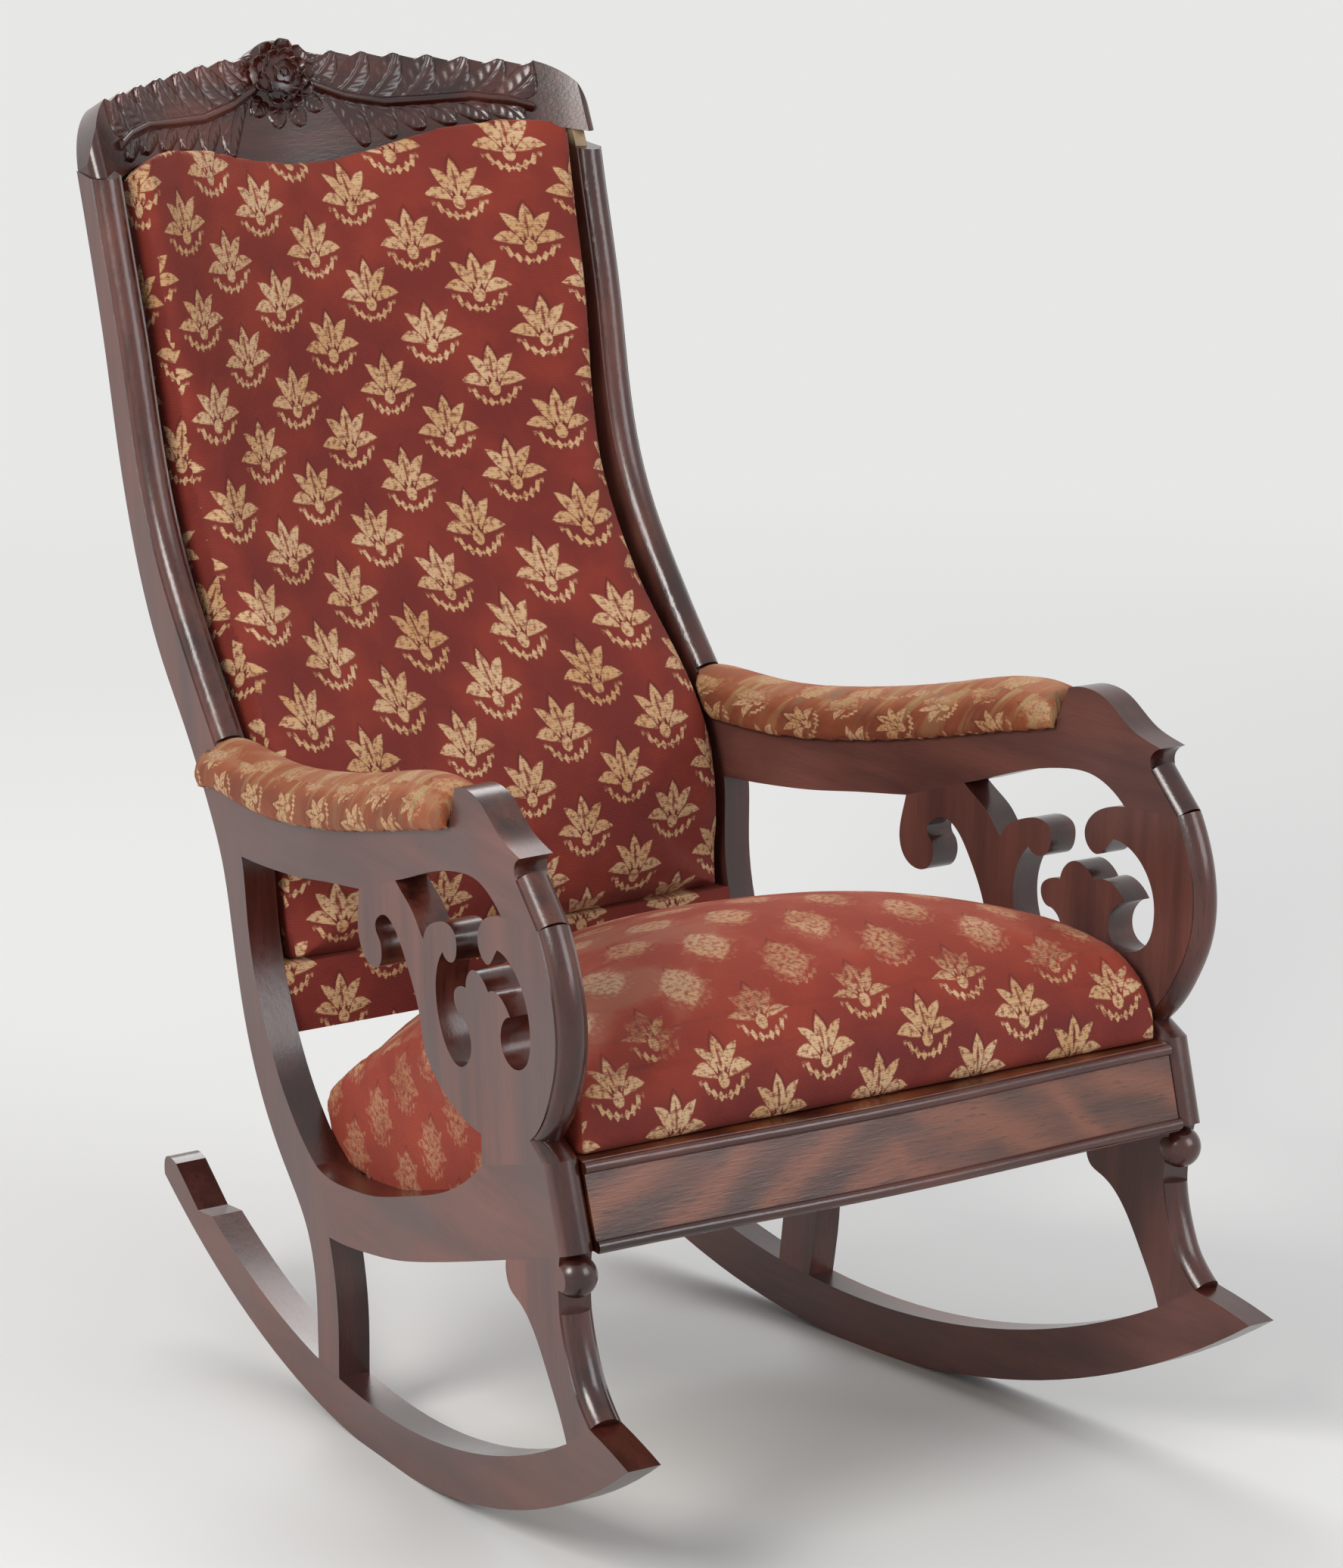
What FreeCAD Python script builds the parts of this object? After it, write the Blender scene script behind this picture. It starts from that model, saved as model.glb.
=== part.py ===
import FreeCAD, Part
import math
import os

# Rocking chair of mahogany on two fixed bent runners, with a padded back, seat and arms.
# Millimetres. +X is the sitter's left, the chair faces -Y, +Z is up.
# The origin is on the floor, under the middle of the whole chair's box.

V = FreeCAD.Vector

# Driving dimensions of the side frames
board = 26.0              # thickness of every board in a side frame
floor_half_width = 239.5  # middle of the chair to a side frame's outer face, at the floor
side_taper = 6.3          # degrees that each side frame turns in towards the back
side_lean = 2.7           # degrees that each side frame leans out towards the top
nosing_depth = 8.0        # half-round facing in front of the boards
nosing_inset = 1.5        # quirk between a board's side and its facing
knee_radius = 16.0        # turned knee at the top of a front leg
seat_gap = 0.3            # clearance between upholstery and wood
rest_flat = 1.5           # worn flat under each runner, measured up from the arc

# Runner
runner_radius = 742.0
runner_depth = 39.0
runner_front = 418.0      # toe tip, ahead of the lowest point
runner_rear = 396.0       # tail tip, behind the lowest point
tail_step = 303.0         # step in the top edge near the tail
tail_notch = 14.0         # how far the tail is cut down behind the step

# Anchor points of a side frame, as (rearward, up) from the runner's lowest point
leg_foot_rear = (-322.0, 116.0)
leg_foot_front = (-359.0, 140.0)
rail_front_low = (-325.0, 259.0)
rail_front_high = (-306.0, 323.0)
leg_top_rear = (-237.0, 231.0)
rail_rear_low = (75.0, 157.0)
rail_rear_high = (92.0, 210.0)
support_heel = (-205.0, 294.0)
support_neck = (-286.0, 335.0)
scroll_joint_front = (-314.0, 497.0)
scroll_joint_rear = (-258.0, 494.0)
stem_joint_front = (-82.0, 479.0)
stem_joint_rear = (-17.0, 457.0)
beak_notch = (-284.0, 527.0)
beak_tip = (-293.0, 545.0)
pad_front = (-183.0, 551.0)
stile_top_front = (414.0, 930.0)
stile_top_rear = (441.0, 933.0)

# Crest rail
crest_lean = 24.0         # degrees that the crest leans back
crest_bow = 84.0          # how far its middle is hollowed to the rear
crest_thickness = 26.0
crest_corner = 10.0       # rounding of its front corners
crest_inset = 3.0         # its ends, inside the stiles' outer faces
crest_height = 112.0      # above the stiles' tops, at the middle
crest_end_rise = 67.0     # height of the sloping ends
crest_end_slope = 34.0    # how far the ends slope inwards
crest_low_line = [(0.0, 14.0), (50.0, 17.0), (112.0, 25.0), (152.0, 22.0), (183.0, 12.0)]
crest_low_end = -5.0      # its lower edge beside the stiles
leaf_count = 7            # carved leaf tips along each half of its top edge
leaf_notch = 4.0
open_joint = 13.0         # gap that has opened over the left-hand stile
tenon_width = 11.0
tenon_thickness = 13.0
tenon_into_crest = 12.0
tenon_into_stile = 34.0
rose_radius = 30.0
rose_rise = 12.0
rose_height = 91.0        # its middle, above the stiles' tops

# Seat frame
front_rail_thickness = 22.0
front_rail_reach = 10.0   # its face, in front of the side rails' ends
front_bow = 8.0           # serpentine swelling of the front rail
bead_radius = 4.5
bead_margin = 0.6         # rail's face left above the upper bead and below the lower
rear_rail_front = (97.0, 158.0)
rear_rail_thickness = 19.0
rear_rail_height = 51.0
block_leg = 55.0          # corner blocks
block_height = 26.0
block_sink = 15.0         # spare length that the frame trims off a block
webbing_width = 50.0
webbing_thickness = 1.6
webbing_pitch = 105.0
webbing_rise = 7.0        # above the rails' undersides
canvas_thickness = 1.2

# Seat cushion
cushion_shoulder = 26.0
cushion_setback = 4.0     # behind the face of the front rail
# Distance behind the cushion's front, height of its sides, height of its middle
seat_line = [(0.0, 344.0, 352.0), (6.0, 370.0, 380.0), (22.0, 390.0, 406.0), (56.0, 402.0, 428.0),
             (118.0, 404.0, 442.0), (208.0, 384.0, 427.0), (266.0, 361.0, 410.0), (333.0, 330.0, 386.0),
             (407.0, 288.0, 350.0), (453.0, 257.0, 328.0), (492.0, 232.0, 310.0)]

# Back
back_proud = 17.0         # pad's front beyond the stiles' fronts
back_pad_depth = 34.0
back_crown = 12.0
back_shoulder = 14.0
back_gap = 6.0            # shadow gap between the back pad and a stile
back_low_bow = 5.0        # hollow of the back at its lower end
strip_width = 18.0
strip_depth = 7.0
back_rail_low = (179.0, 290.0)
back_rail_high = (188.0, 331.0)
back_rail_depth = 20.0

# Arm pads
arm_pad_overhang = 11.0
arm_pad_rise = 26.0
arm_pad_crown = 8.0
arm_pad_skirt = 11.0      # how far its edges hang below the arm's top


def point(uv, x=0.0):
    """Point of a side frame: rearward and up in its plane, x inwards from its outer face."""
    return V(x, uv[0], uv[1])


def curve(points):
    """Straight line through two points, smooth curve through more."""
    if len(points) == 2:
        return Part.makeLine(points[0], points[1])
    spline = Part.BSplineCurve()
    spline.interpolate(points)
    return spline.toShape()


def bulge(a, b, out):
    """Arc from a to b whose middle stands off the chord by the vector out."""
    if out.Length < 0.05:
        return Part.makeLine(a, b)
    return Part.Arc(a, (a + b) * 0.5 + out, b).toShape()


def closed_face(runs):
    """Face inside runs of points or edges, each run starting where the last one ended."""
    edges = []
    for run in runs:
        edges.append(curve(run) if isinstance(run, list) else run)
    return Part.Face(Part.Wire(edges))


def board_of(runs, x0=0.0, x1=None):
    """Board cut to an outline in the side frame's plane."""
    x1 = board if x1 is None else x1
    flat = [[point(p, x0) for p in run] for run in runs]
    return closed_face(flat).extrude(V(x1 - x0, 0, 0))


def runner_low(u):
    """Height of the runner's underside at a distance from its lowest point."""
    return runner_radius - math.sqrt(runner_radius ** 2 - u ** 2)


def runner_high(u):
    """Height of the runner's top edge, on the same centre as its underside."""
    return runner_radius - math.sqrt((runner_radius - runner_depth) ** 2 - u ** 2)


def facing(points, depth=None):
    """Half-round facing swept along the front edge of a board; it reaches 2 mm into the board."""
    depth = nosing_depth if depth is None else depth
    path = [point(p) for p in points]
    spine = curve(path)
    along = spine.tangentAt(spine.FirstParameter)
    out = along.cross(V(1, 0, 0))
    if out.y > 0:
        out = out * -1.0
    back = out * -2.0
    low, high = nosing_inset, board - nosing_inset
    start = path[0]
    corners = [start + V(low, 0, 0), start + V(high, 0, 0)]
    crown = start + V(board / 2, 0, 0) + out * depth
    sides = [Part.makeLine(corners[0] + back, corners[0]),
             Part.Arc(corners[0], crown, corners[1]).toShape(),
             Part.makeLine(corners[1], corners[1] + back),
             Part.makeLine(corners[1] + back, corners[0] + back)]
    return Part.Wire([spine]).makePipeShell([Part.Wire(sides)], True, False)


side_place = FreeCAD.Placement(
    V(-floor_half_width, 0, 0),
    FreeCAD.Rotation(V(0, 0, 1), -side_taper).multiply(FreeCAD.Rotation(V(0, 1, 0), -side_lean)))


def right_side(shape):
    """Solid of a side frame, stood up at the chair's right-hand side (-X)."""
    moved = shape.copy()
    moved.transformShape(side_place.toMatrix())
    return moved


def mirrored(shape):
    """The same solid at the chair's left-hand side (+X)."""
    return shape.mirror(V(0, 0, 0), V(1, 0, 0))


def across(uv, x=None):
    """Place (Y, Z) of a side-frame point, for the members that cross the chair."""
    x = board / 2 if x is None else x
    placed = side_place.multVec(point(uv, x))
    return placed.y, placed.z


def room(clearance=0.0):
    """Space between the inner faces of the two side frames."""
    block = Part.makeBox(900, 1600, 1600, V(board + clearance, -800, -200))
    one = right_side(block)
    return one.common(mirrored(one))


def inner_half_width(y, z, clearance=0.0):
    """Half the free width between the side frames at a place in the chair."""
    nose = side_place.Rotation.multVec(V(1, 0, 0))
    start = side_place.multVec(V(board + clearance, 0, 0))
    return -(start.x - (nose.y * (y - start.y) + nose.z * (z - start.z)) / nose.x)


def slab(profile, half_length):
    """Solid of constant (Y, Z) outline, lying across the chair."""
    ring = [V(-half_length, y, z) for y, z in profile]
    return Part.Face(Part.makePolygon(ring + [ring[0]])).extrude(V(2 * half_length, 0, 0))


nodes = {}


def keep(name, shape):
    """Store one named piece."""
    nodes[name] = shape


def pair(name, shape):
    """Store a right-hand piece and its mirror image."""
    keep(name + "_right", shape)
    keep(name + "_left", mirrored(shape))


# Runner: concentric arcs, a step near the tail and a pointed toe
def make_runner():
    toe = (-runner_front, runner_low(runner_front) - 2.0)
    tail = (runner_rear, runner_low(runner_rear) + 3.0)
    step_low = (tail_step + 28.0, runner_high(tail_step + 28.0) - tail_notch - 3.0)
    tail_top = (runner_rear - 25.0, runner_high(runner_rear - 25.0) - tail_notch + 2.0)
    under = Part.Arc(point(toe), point((0, 0)), point(tail)).toShape()
    top = Part.Arc(point((tail_step, runner_high(tail_step))), point((0, runner_depth)),
                   point((leg_foot_rear[0], runner_high(leg_foot_rear[0])))).toShape()
    foot = (leg_foot_rear[0], runner_high(leg_foot_rear[0]))
    tail_round = (runner_rear - 3.0, tail[1] + 14.0)
    runs = [under,
            curve([point(tail), point(tail_round), point(tail_top)]),
            curve([point(tail_top), point(step_low)]),
            curve([point(step_low), point((tail_step, runner_high(tail_step)))]),
            top,
            curve([point(foot), point(leg_foot_front)]),
            curve([point(leg_foot_front), point((-390.0, 134.0)), point(toe)])]
    body = closed_face(runs).extrude(V(board, 0, 0))
    return body


runner = make_runner()

# Stile and rear leg in one serpentine piece
stile_rear = [(109, 30), (106, 82), (106, 118), (117, 154), (151, 193), (184, 234), (206, 278), (219, 324),
              (227, 371), (238, 420), (262, 466), (295, 514), (329, 556), (357, 602), (378, 656), (394, 720),
              (406, 790), (422, 862), stile_top_rear]
stile_face = [stile_top_front, (396, 862), (380, 802), (367, 740), (350, 680), (326, 630), (297, 587),
              (267, 547), (240, 513)]
stile_plain = [stile_face[-1], (213, 470), (198, 426), (195, 379), (188, 340), (177, 309), (154, 267),
               (120, 229), rail_rear_high]
stile_slope = (stile_top_rear[1] - stile_top_front[1]) / (stile_top_rear[0] - stile_top_front[0])
rear_leg_front = [rail_rear_low, (69, 128), (67, 94), (70, 59), (74, 25)]


def over_joint(drop=0.0):
    """Space over a stile, above its joint with the crest or as far below it as drop."""
    low = stile_top_front[1] - drop
    front = (stile_top_front[0] - 60, low - 60 * stile_slope)
    rear = (stile_top_front[0] + 90, low + 90 * stile_slope)
    front_high, rear_high = (front[0], low + 120), (rear[0], low + 120)
    runs = [[front, rear], [rear, rear_high], [rear_high, front_high], [front_high, front]]
    return board_of(runs, -30, board + 30)


def make_stile():
    blank = board_of([stile_rear, [stile_top_rear, stile_top_front], stile_face, stile_plain,
                      [rail_rear_high, rail_rear_low], rear_leg_front, [rear_leg_front[-1], stile_rear[0]]])
    return blank.fuse(facing(stile_face)).cut(runner).cut(over_joint())


stile = make_stile()

# Side seat rail with its scooped top edge
scoop = [rail_rear_high, (69, 206), (35, 208), (-7, 214), (-52, 226), (-98, 240), (-142, 256), (-175, 273),
         support_heel]
rail_under = [rail_front_low, leg_top_rear, (-148, 203), (-91, 186), (-41, 173), (9, 164), (45, 159),
              rail_rear_low]


def make_side_rail():
    return board_of([scoop, [support_heel, rail_front_high], [rail_front_high, rail_front_low],
                     rail_under, [rail_rear_low, rail_rear_high]])


side_rail = make_side_rail()


# Front leg: flat board, half-round facing and a turned-looking knee at its top
leg_back = [leg_top_rear, (-236, 222), (-241, 211), (-254, 205), (-268, 197), (-284, 180), (-300, 156),
            (-313, 135), leg_foot_rear]
leg_front = [leg_foot_front, (-347, 151), (-338, 162), (-330, 178), (-324, 195), (-320, 214)]
leg_neck = [leg_front[-1], (-321, 238), rail_front_low]
knee_centre = (-323.0, 242.0)


def make_leg():
    blank = board_of([leg_back, [leg_foot_rear, leg_foot_front], leg_front, leg_neck,
                      [rail_front_low, leg_top_rear]])
    knee = Part.makeSphere(knee_radius, point(knee_centre, board / 2))
    knee = knee.common(Part.makeBox(board + knee_radius, 80, 80, V(0, knee_centre[0] - 40, 200)))
    body = blank.fuse(facing(leg_front)).fuse(knee)
    return body.cut(runner).cut(side_rail).cut(colonnette)


# Colonnette: half-round post in front of the side rail's end
def make_colonnette():
    low, high = point(rail_front_low), point(rail_front_high)
    axis = (high - low).normalize()
    out = axis.cross(V(1, 0, 0))
    if out.y > 0:
        out = out * -1.0
    half = board / 2
    arc = Part.Arc(low, low + V(half, 0, 0) + out * half, low + V(board, 0, 0)).toShape()
    chord = Part.makeLine(low + V(board, 0, 0), low)
    return Part.Face(Part.Wire([arc, chord])).extrude(high - low)


colonnette = make_colonnette()
leg = make_leg()

# Arm support: one board sawn to a stem with a rear lobe, a bud in its opening and a C-shaped front
rear_lobe = [stem_joint_rear, (-13, 440), (-12, 420), (-18, 408), (-34, 401), (-46, 405), (-51, 417),
             (-45, 429)]
lobe_slot = [(-45, 429), (-43, 437), (-50, 444), (-64, 447), (-77, 440), (-91, 423), (-105, 400),
             (-113, 378), (-116, 362), (-128, 346), (-150, 332), (-178, 322), (-206, 318)]
stem_front = [stem_joint_front, (-95, 471), (-110, 461), (-119, 451), (-125, 445)]
stem_spur = [(-125, 445), (-132, 455), (-150, 464), (-168, 467), (-179, 462), (-181, 452), (-176, 441),
             (-167, 438), (-157, 443)]
left_opening = [(-157, 443), (-147, 430), (-142, 410), (-146, 386), (-158, 368), (-173, 361), (-188, 366),
                (-197, 379), (-195, 392), (-184, 401)]
bud_low_lobe = [(-184, 401), (-174, 407), (-173, 416), (-181, 423), (-193, 425)]
bud_tip = [(-193, 425), (-196, 434), (-207, 442), (-221, 439), (-230, 431)]
bud_high_lobe = [(-230, 431), (-243, 434), (-257, 428), (-264, 421)]
right_opening = [(-264, 421), (-252, 414), (-247, 402), (-250, 391), (-261, 384), (-276, 385), (-289, 394),
                 (-295, 412), (-293, 432), (-282, 451), (-266, 463), (-248, 467)]
front_spur = [(-248, 467), (-241, 459), (-231, 452), (-220, 458), (-217, 468), (-223, 480), (-237, 489),
              scroll_joint_rear]
scroll_front = [support_neck, (-299, 345), (-311, 359), (-322, 378), (-331, 399), (-335, 420), (-334, 443),
                (-327, 470), scroll_joint_front]


def make_support():
    heel = [(-206, 318), support_heel]
    blank = board_of([rear_lobe, lobe_slot, heel, [support_heel, rail_front_high],
                      [rail_front_high, (-297, 329), support_neck], scroll_front,
                      [scroll_joint_front, scroll_joint_rear], front_spur[::-1], right_opening[::-1],
                      bud_high_lobe[::-1], bud_tip[::-1], bud_low_lobe[::-1], left_opening[::-1],
                      stem_spur[::-1], stem_front[::-1], [stem_joint_front, stem_joint_rear]])
    low, high = half_disc(rail_front_high, rail_front_low), half_disc(support_neck, rail_front_high, 0.7)
    flare = Part.makeLoft([low, high], True, True)
    return blank.fuse(facing(scroll_front)).fuse(flare)


def half_disc(uv, towards, depth=1.0):
    """Half-round outline of the board's width, square to the line towards another point."""
    centre = point(uv)
    axis = (point(towards) - centre).normalize()
    out = axis.cross(V(1, 0, 0))
    if out.y > 0:
        out = out * -1.0
    half = board / 2
    arc = Part.Arc(centre, centre + V(half, 0, 0) + out * half * depth, centre + V(board, 0, 0)).toShape()
    back = out * -2.0
    sides = [Part.makeLine(centre + V(board, 0, 0), centre + V(board, 0, 0) + back),
             Part.makeLine(centre + V(board, 0, 0) + back, centre + back),
             Part.makeLine(centre + back, centre)]
    return Part.Wire([arc] + sides)


support = make_support()

# Arm: board from the stile to the beak over the C scroll
arm_under = [(205, 431), (163, 433), (128, 436), (86, 441), (44, 448), (10, 453), stem_joint_rear]
arch = [stem_joint_front, (-112, 489), (-150, 502), (-190, 511), (-222, 512), (-244, 504), scroll_joint_rear]
arm_nose = [scroll_joint_front, (-299, 512), beak_notch]
ogee = [beak_tip, (-280, 548), (-262, 554), (-246, 564), (-231, 573), (-213, 577), (-192, 574)]
pad_seat = [pad_front, (-103, 532), (-1, 508), (69, 495), (123, 488), (165, 486), (222, 488)]


def make_arm():
    blank = board_of([arm_under, [stem_joint_rear, stem_joint_front], arch,
                      [scroll_joint_rear, scroll_joint_front], arm_nose,
                      [beak_notch, (-283, 536), beak_tip], ogee, [ogee[-1], pad_front],
                      pad_seat, [pad_seat[-1], arm_under[0]]])
    return blank.fuse(facing(arm_nose)).cut(stile)


arm = make_arm()


def rail_parts():
    """Front rail with its two beads, between the side frames."""
    y_high, z_high = across(rail_front_high, board)
    y_low, z_low = across(rail_front_low, board)
    down = V(0, y_low - y_high, z_low - z_high)
    wave = inner_half_width(y_high, z_high)
    face_y = y_high - front_rail_reach

    def front_line(drop):
        """Serpentine line of the rail's face, a share of the way down it."""
        points = []
        for step in range(-6, 7):
            x = wave * 1.05 * step / 6
            swell = front_bow * (1 + math.cos(math.pi * min(1.0, abs(x) / wave))) / 2
            points.append(V(x, face_y - swell, z_high) + down * drop)
        return points

    front = front_line(0)
    left_back = V(front[-1].x, face_y + front_rail_thickness, z_high)
    right_back = V(front[0].x, face_y + front_rail_thickness, z_high)
    rail = closed_face([front, [front[-1], left_back], [left_back, right_back], [right_back, front[0]]])
    rail = rail.extrude(down).common(room())

    def bead(drop):
        points = front_line(drop)
        spine = curve(points)
        ring = Part.Wire(Part.makeCircle(bead_radius, points[0], spine.tangentAt(spine.FirstParameter)))
        return Part.Wire([spine]).makePipeShell([ring], True, False).common(room()).cut(rail)

    share = (bead_radius + bead_margin) / down.Length
    return rail, bead(share), bead(1 - share), face_y, z_high


front_rail, top_bead, bottom_bead, rail_face_y, rail_top_z = rail_parts()
rail_back_y = rail_face_y + front_rail_thickness
rear_y, rear_z = across(rear_rail_front, board)
rear_rail = slab([(rear_y, rear_z), (rear_y + rear_rail_thickness, rear_z),
                  (rear_y + rear_rail_thickness, rear_z + rear_rail_height),
                  (rear_y, rear_z + rear_rail_height)], 300).common(room())
rail_low_z = across(rail_front_low, board)[1]


def deck(y):
    """Height of the webs' underside at a place between the front and rear rails."""
    slope = (rear_z - rail_low_z) / (rear_y - rail_back_y)
    return rail_low_z + webbing_rise + slope * (y - rail_back_y)


def layer(low, high, y0=None, y1=None):
    """Flat layer over the webs, between two heights above their underside."""
    y0 = rail_back_y - 5 if y0 is None else y0
    y1 = rear_y + 5 if y1 is None else y1
    z0, z1 = deck(y0), deck(y1)
    sheet = slab([(y0, z0 + low), (y1, z1 + low), (y1, z1 + high), (y0, z0 + high)], 300)
    return sheet.common(room()).cut(front_rail).cut(rear_rail)


def make_webbing():
    """Webs from front to back, and cross webs laid over them."""
    strips = []
    for step in (-1.5, -0.5, 0.5, 1.5):
        x = step * webbing_pitch
        band = Part.makeBox(webbing_width, 900, 900, V(x - webbing_width / 2, -500, -100))
        strips.append(layer(0, webbing_thickness).common(band))
    middle = (rail_back_y + rear_y) / 2
    for step in (-1, 0, 1):
        y = middle + step * webbing_pitch
        near, far = y - webbing_width / 2, y + webbing_width / 2
        strips.append(layer(webbing_thickness, 2 * webbing_thickness, near, far))
    return strips[0].fuse(strips[1:])


webbing = make_webbing()
canvas_low = 2 * webbing_thickness
seat_canvas = layer(canvas_low, canvas_low + canvas_thickness)


def corner_block(y, turn, grow=0.0):
    """Three-sided block in a corner of the seat frame, at the right-hand side."""
    x = -inner_half_width(y, deck(y)) - block_sink
    lift = canvas_low + canvas_thickness
    leg_length = block_leg + 2 * grow
    near, far = y - turn * block_sink, y + turn * leg_length
    ring = [V(x, near, deck(near) + lift), V(x + block_sink + leg_length, near, deck(near) + lift),
            V(x, far, deck(far) + lift)]
    block = Part.Face(Part.makePolygon(ring + [ring[0]])).extrude(V(0, 0, block_height + grow))
    if grow:
        return block
    return block.common(room()).cut(front_rail).cut(rear_rail)


front_block = corner_block(rail_back_y, 1)
rear_block = corner_block(rear_y, -1)


def cushion_section(y, low, side_z, middle_z):
    """Outline across the seat: flat below, upright sides, rounded shoulders and a crowned top."""
    side = side_z - cushion_shoulder
    at_low, at_side = inner_half_width(y, low, seat_gap), inner_half_width(y, side, seat_gap)
    inner = at_side - cushion_shoulder
    a, b = V(-at_low, y, low), V(at_low, y, low)
    c, d = V(at_side, y, side), V(-at_side, y, side)
    e, f = V(inner, y, side_z), V(-inner, y, side_z)
    corner = cushion_shoulder * 0.2
    return Part.Wire([Part.makeLine(a, b), Part.makeLine(b, c), bulge(c, e, V(corner, 0, corner)),
                      bulge(e, f, V(0, 0, middle_z - side_z)), bulge(f, d, V(-corner, 0, corner)),
                      Part.makeLine(d, a)])


def make_cushion():
    start = rail_face_y + cushion_setback
    sections = []
    for back, side_z, middle_z in seat_line:
        y = start + back
        sections.append(cushion_section(y, deck(y) - 15, side_z, middle_z))
    body = Part.makeLoft(sections, True, False)
    y_low, z_low = across((rear_rail_front[0] + rear_rail_thickness, rear_rail_front[1] + rear_rail_height))
    y_high, z_high = across((back_rail_low[0] - back_proud, back_rail_high[1]))
    rise = (z_high - z_low) / (y_high - y_low)
    behind = slab([(y_low - 60, z_low - 60 * rise), (y_high + 60, z_high + 60 * rise), (y_high + 300, z_high),
                   (y_high + 300, z_low - 100)], 400)
    frame = [behind, back_zone(-back_proud - seat_gap, 60.0, wide, back_crown)]
    y0, y1 = rail_face_y - 20, rail_back_y + seat_gap
    frame.append(slab([(y0, 0), (y1, 0), (y1, rail_top_z + seat_gap), (y0, rail_top_z + seat_gap)], 400))
    y0, y1 = rear_y - seat_gap, rear_y + rear_rail_thickness + 60
    top = rear_z + rear_rail_height + seat_gap
    frame.append(slab([(y0, 0), (y1, 0), (y1, top), (y0, top)], 400))
    floor_of_seat = [(-400, 0), (300, 0)]
    lift = canvas_low + canvas_thickness + seat_gap
    frame.append(slab(floor_of_seat + [(300, deck(300) + lift), (-400, deck(-400) + lift)], 400))
    for block in (corner_block(rail_back_y, 1, seat_gap), corner_block(rear_y, -1, seat_gap)):
        frame += [block, mirrored(block)]
    for tool in frame:
        body = body.cut(tool)
    return body


# The back's layers follow the front line of the stiles
def back_stations(count):
    """Places up the back: point, direction to the rear across the layers, share of the height."""
    front = stile_face + stile_plain[1:]
    line = [V(0, *across(p)) for p in front if p[1] > back_rail_high[1]][::-1]
    spine = curve(line)
    low, high = spine.FirstParameter, spine.LastParameter
    found = []
    for step in range(count):
        share = step / (count - 1)
        at = low + (high - low) * share
        along = spine.tangentAt(at)
        found.append((spine.valueAt(at), V(0, along.z, -along.y), share))
    first, last = found[0], found[-1]
    up = spine.tangentAt(high) * 30
    found.append((last[0] + up, last[1], 1.0))
    return found


def back_section(place, rearward, share, front, rear, crown, gap, shoulder):
    """Outline across the back between two depths behind the stiles' fronts."""
    half = inner_half_width(place.y, place.z) - gap
    bow = back_low_bow + (crest_bow - back_low_bow) * share
    sink = rearward * bow
    a, b = place + rearward * rear + V(half, 0, 0), place + rearward * rear - V(half, 0, 0)
    c = place + rearward * (front + shoulder) - V(half, 0, 0)
    d = place + rearward * front - V(half - shoulder, 0, 0)
    e = place + rearward * front + V(half - shoulder, 0, 0)
    f = place + rearward * (front + shoulder) + V(half, 0, 0)
    if shoulder == 0:
        return Part.Wire([bulge(a, b, sink), Part.makeLine(b, d), bulge(d, e, sink - rearward * crown),
                          Part.makeLine(e, a)])
    corner = shoulder * 0.2
    ahead = rearward * corner
    return Part.Wire([bulge(a, b, sink), Part.makeLine(b, c), bulge(c, d, V(-corner, 0, 0) - ahead),
                      bulge(d, e, sink - rearward * crown), bulge(e, f, V(corner, 0, 0) - ahead),
                      Part.makeLine(f, a)])


def back_zone(front, rear, gap, crown=0.0, shoulder=0.0):
    """Layer of the back, bowed like the crest, from the lower back rail to inside the crest."""
    sections = [back_section(*station, front, rear, crown, gap, shoulder) for station in back_stations(11)]
    return Part.makeLoft(sections, True, False)


# Crest rail: carved outline cut from a bowed plank
crest_y, crest_z = across(stile_top_front)
lean = math.radians(crest_lean)
crest_up = V(0, math.sin(lean), math.cos(lean))
crest_back = V(0, math.cos(lean), -math.sin(lean))
crest_half = -side_place.multVec(point(stile_top_front)).x - crest_inset
crest_inner = inner_half_width(crest_y, crest_z)


def on_crest(x, up, back=0.0):
    """Point of the crest: across, up its lean and back from the line between the stiles."""
    return V(x, crest_y, crest_z) + crest_up * up + crest_back * back


def crest_top(x):
    """Height of the crest's top edge, without its notches."""
    share = min(1.0, abs(x) / (crest_half - crest_end_slope))
    return crest_height - (crest_height - crest_end_rise) * share ** 1.7


def crest_low_points(clearance, ahead, reach, extra=0.0):
    """Points along the crest's lower edge, lowered by a clearance, out to a reach on both sides."""
    half = [(x, up) for x, up in crest_low_line] + [(reach, crest_low_end)]
    if extra:
        half.append((reach + extra, crest_low_end - 1.0))
    both = [(-x, up) for x, up in half[:0:-1]] + half
    return [on_crest(x, up - clearance, ahead) for x, up in both]


def crest_depth(x):
    """How far the crest's front lies behind the line between the stiles."""
    half = crest_half - board / 2
    radius = (half ** 2 + crest_bow ** 2) / (2 * crest_bow)
    return crest_bow - radius + math.sqrt(radius ** 2 - x ** 2)


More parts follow.
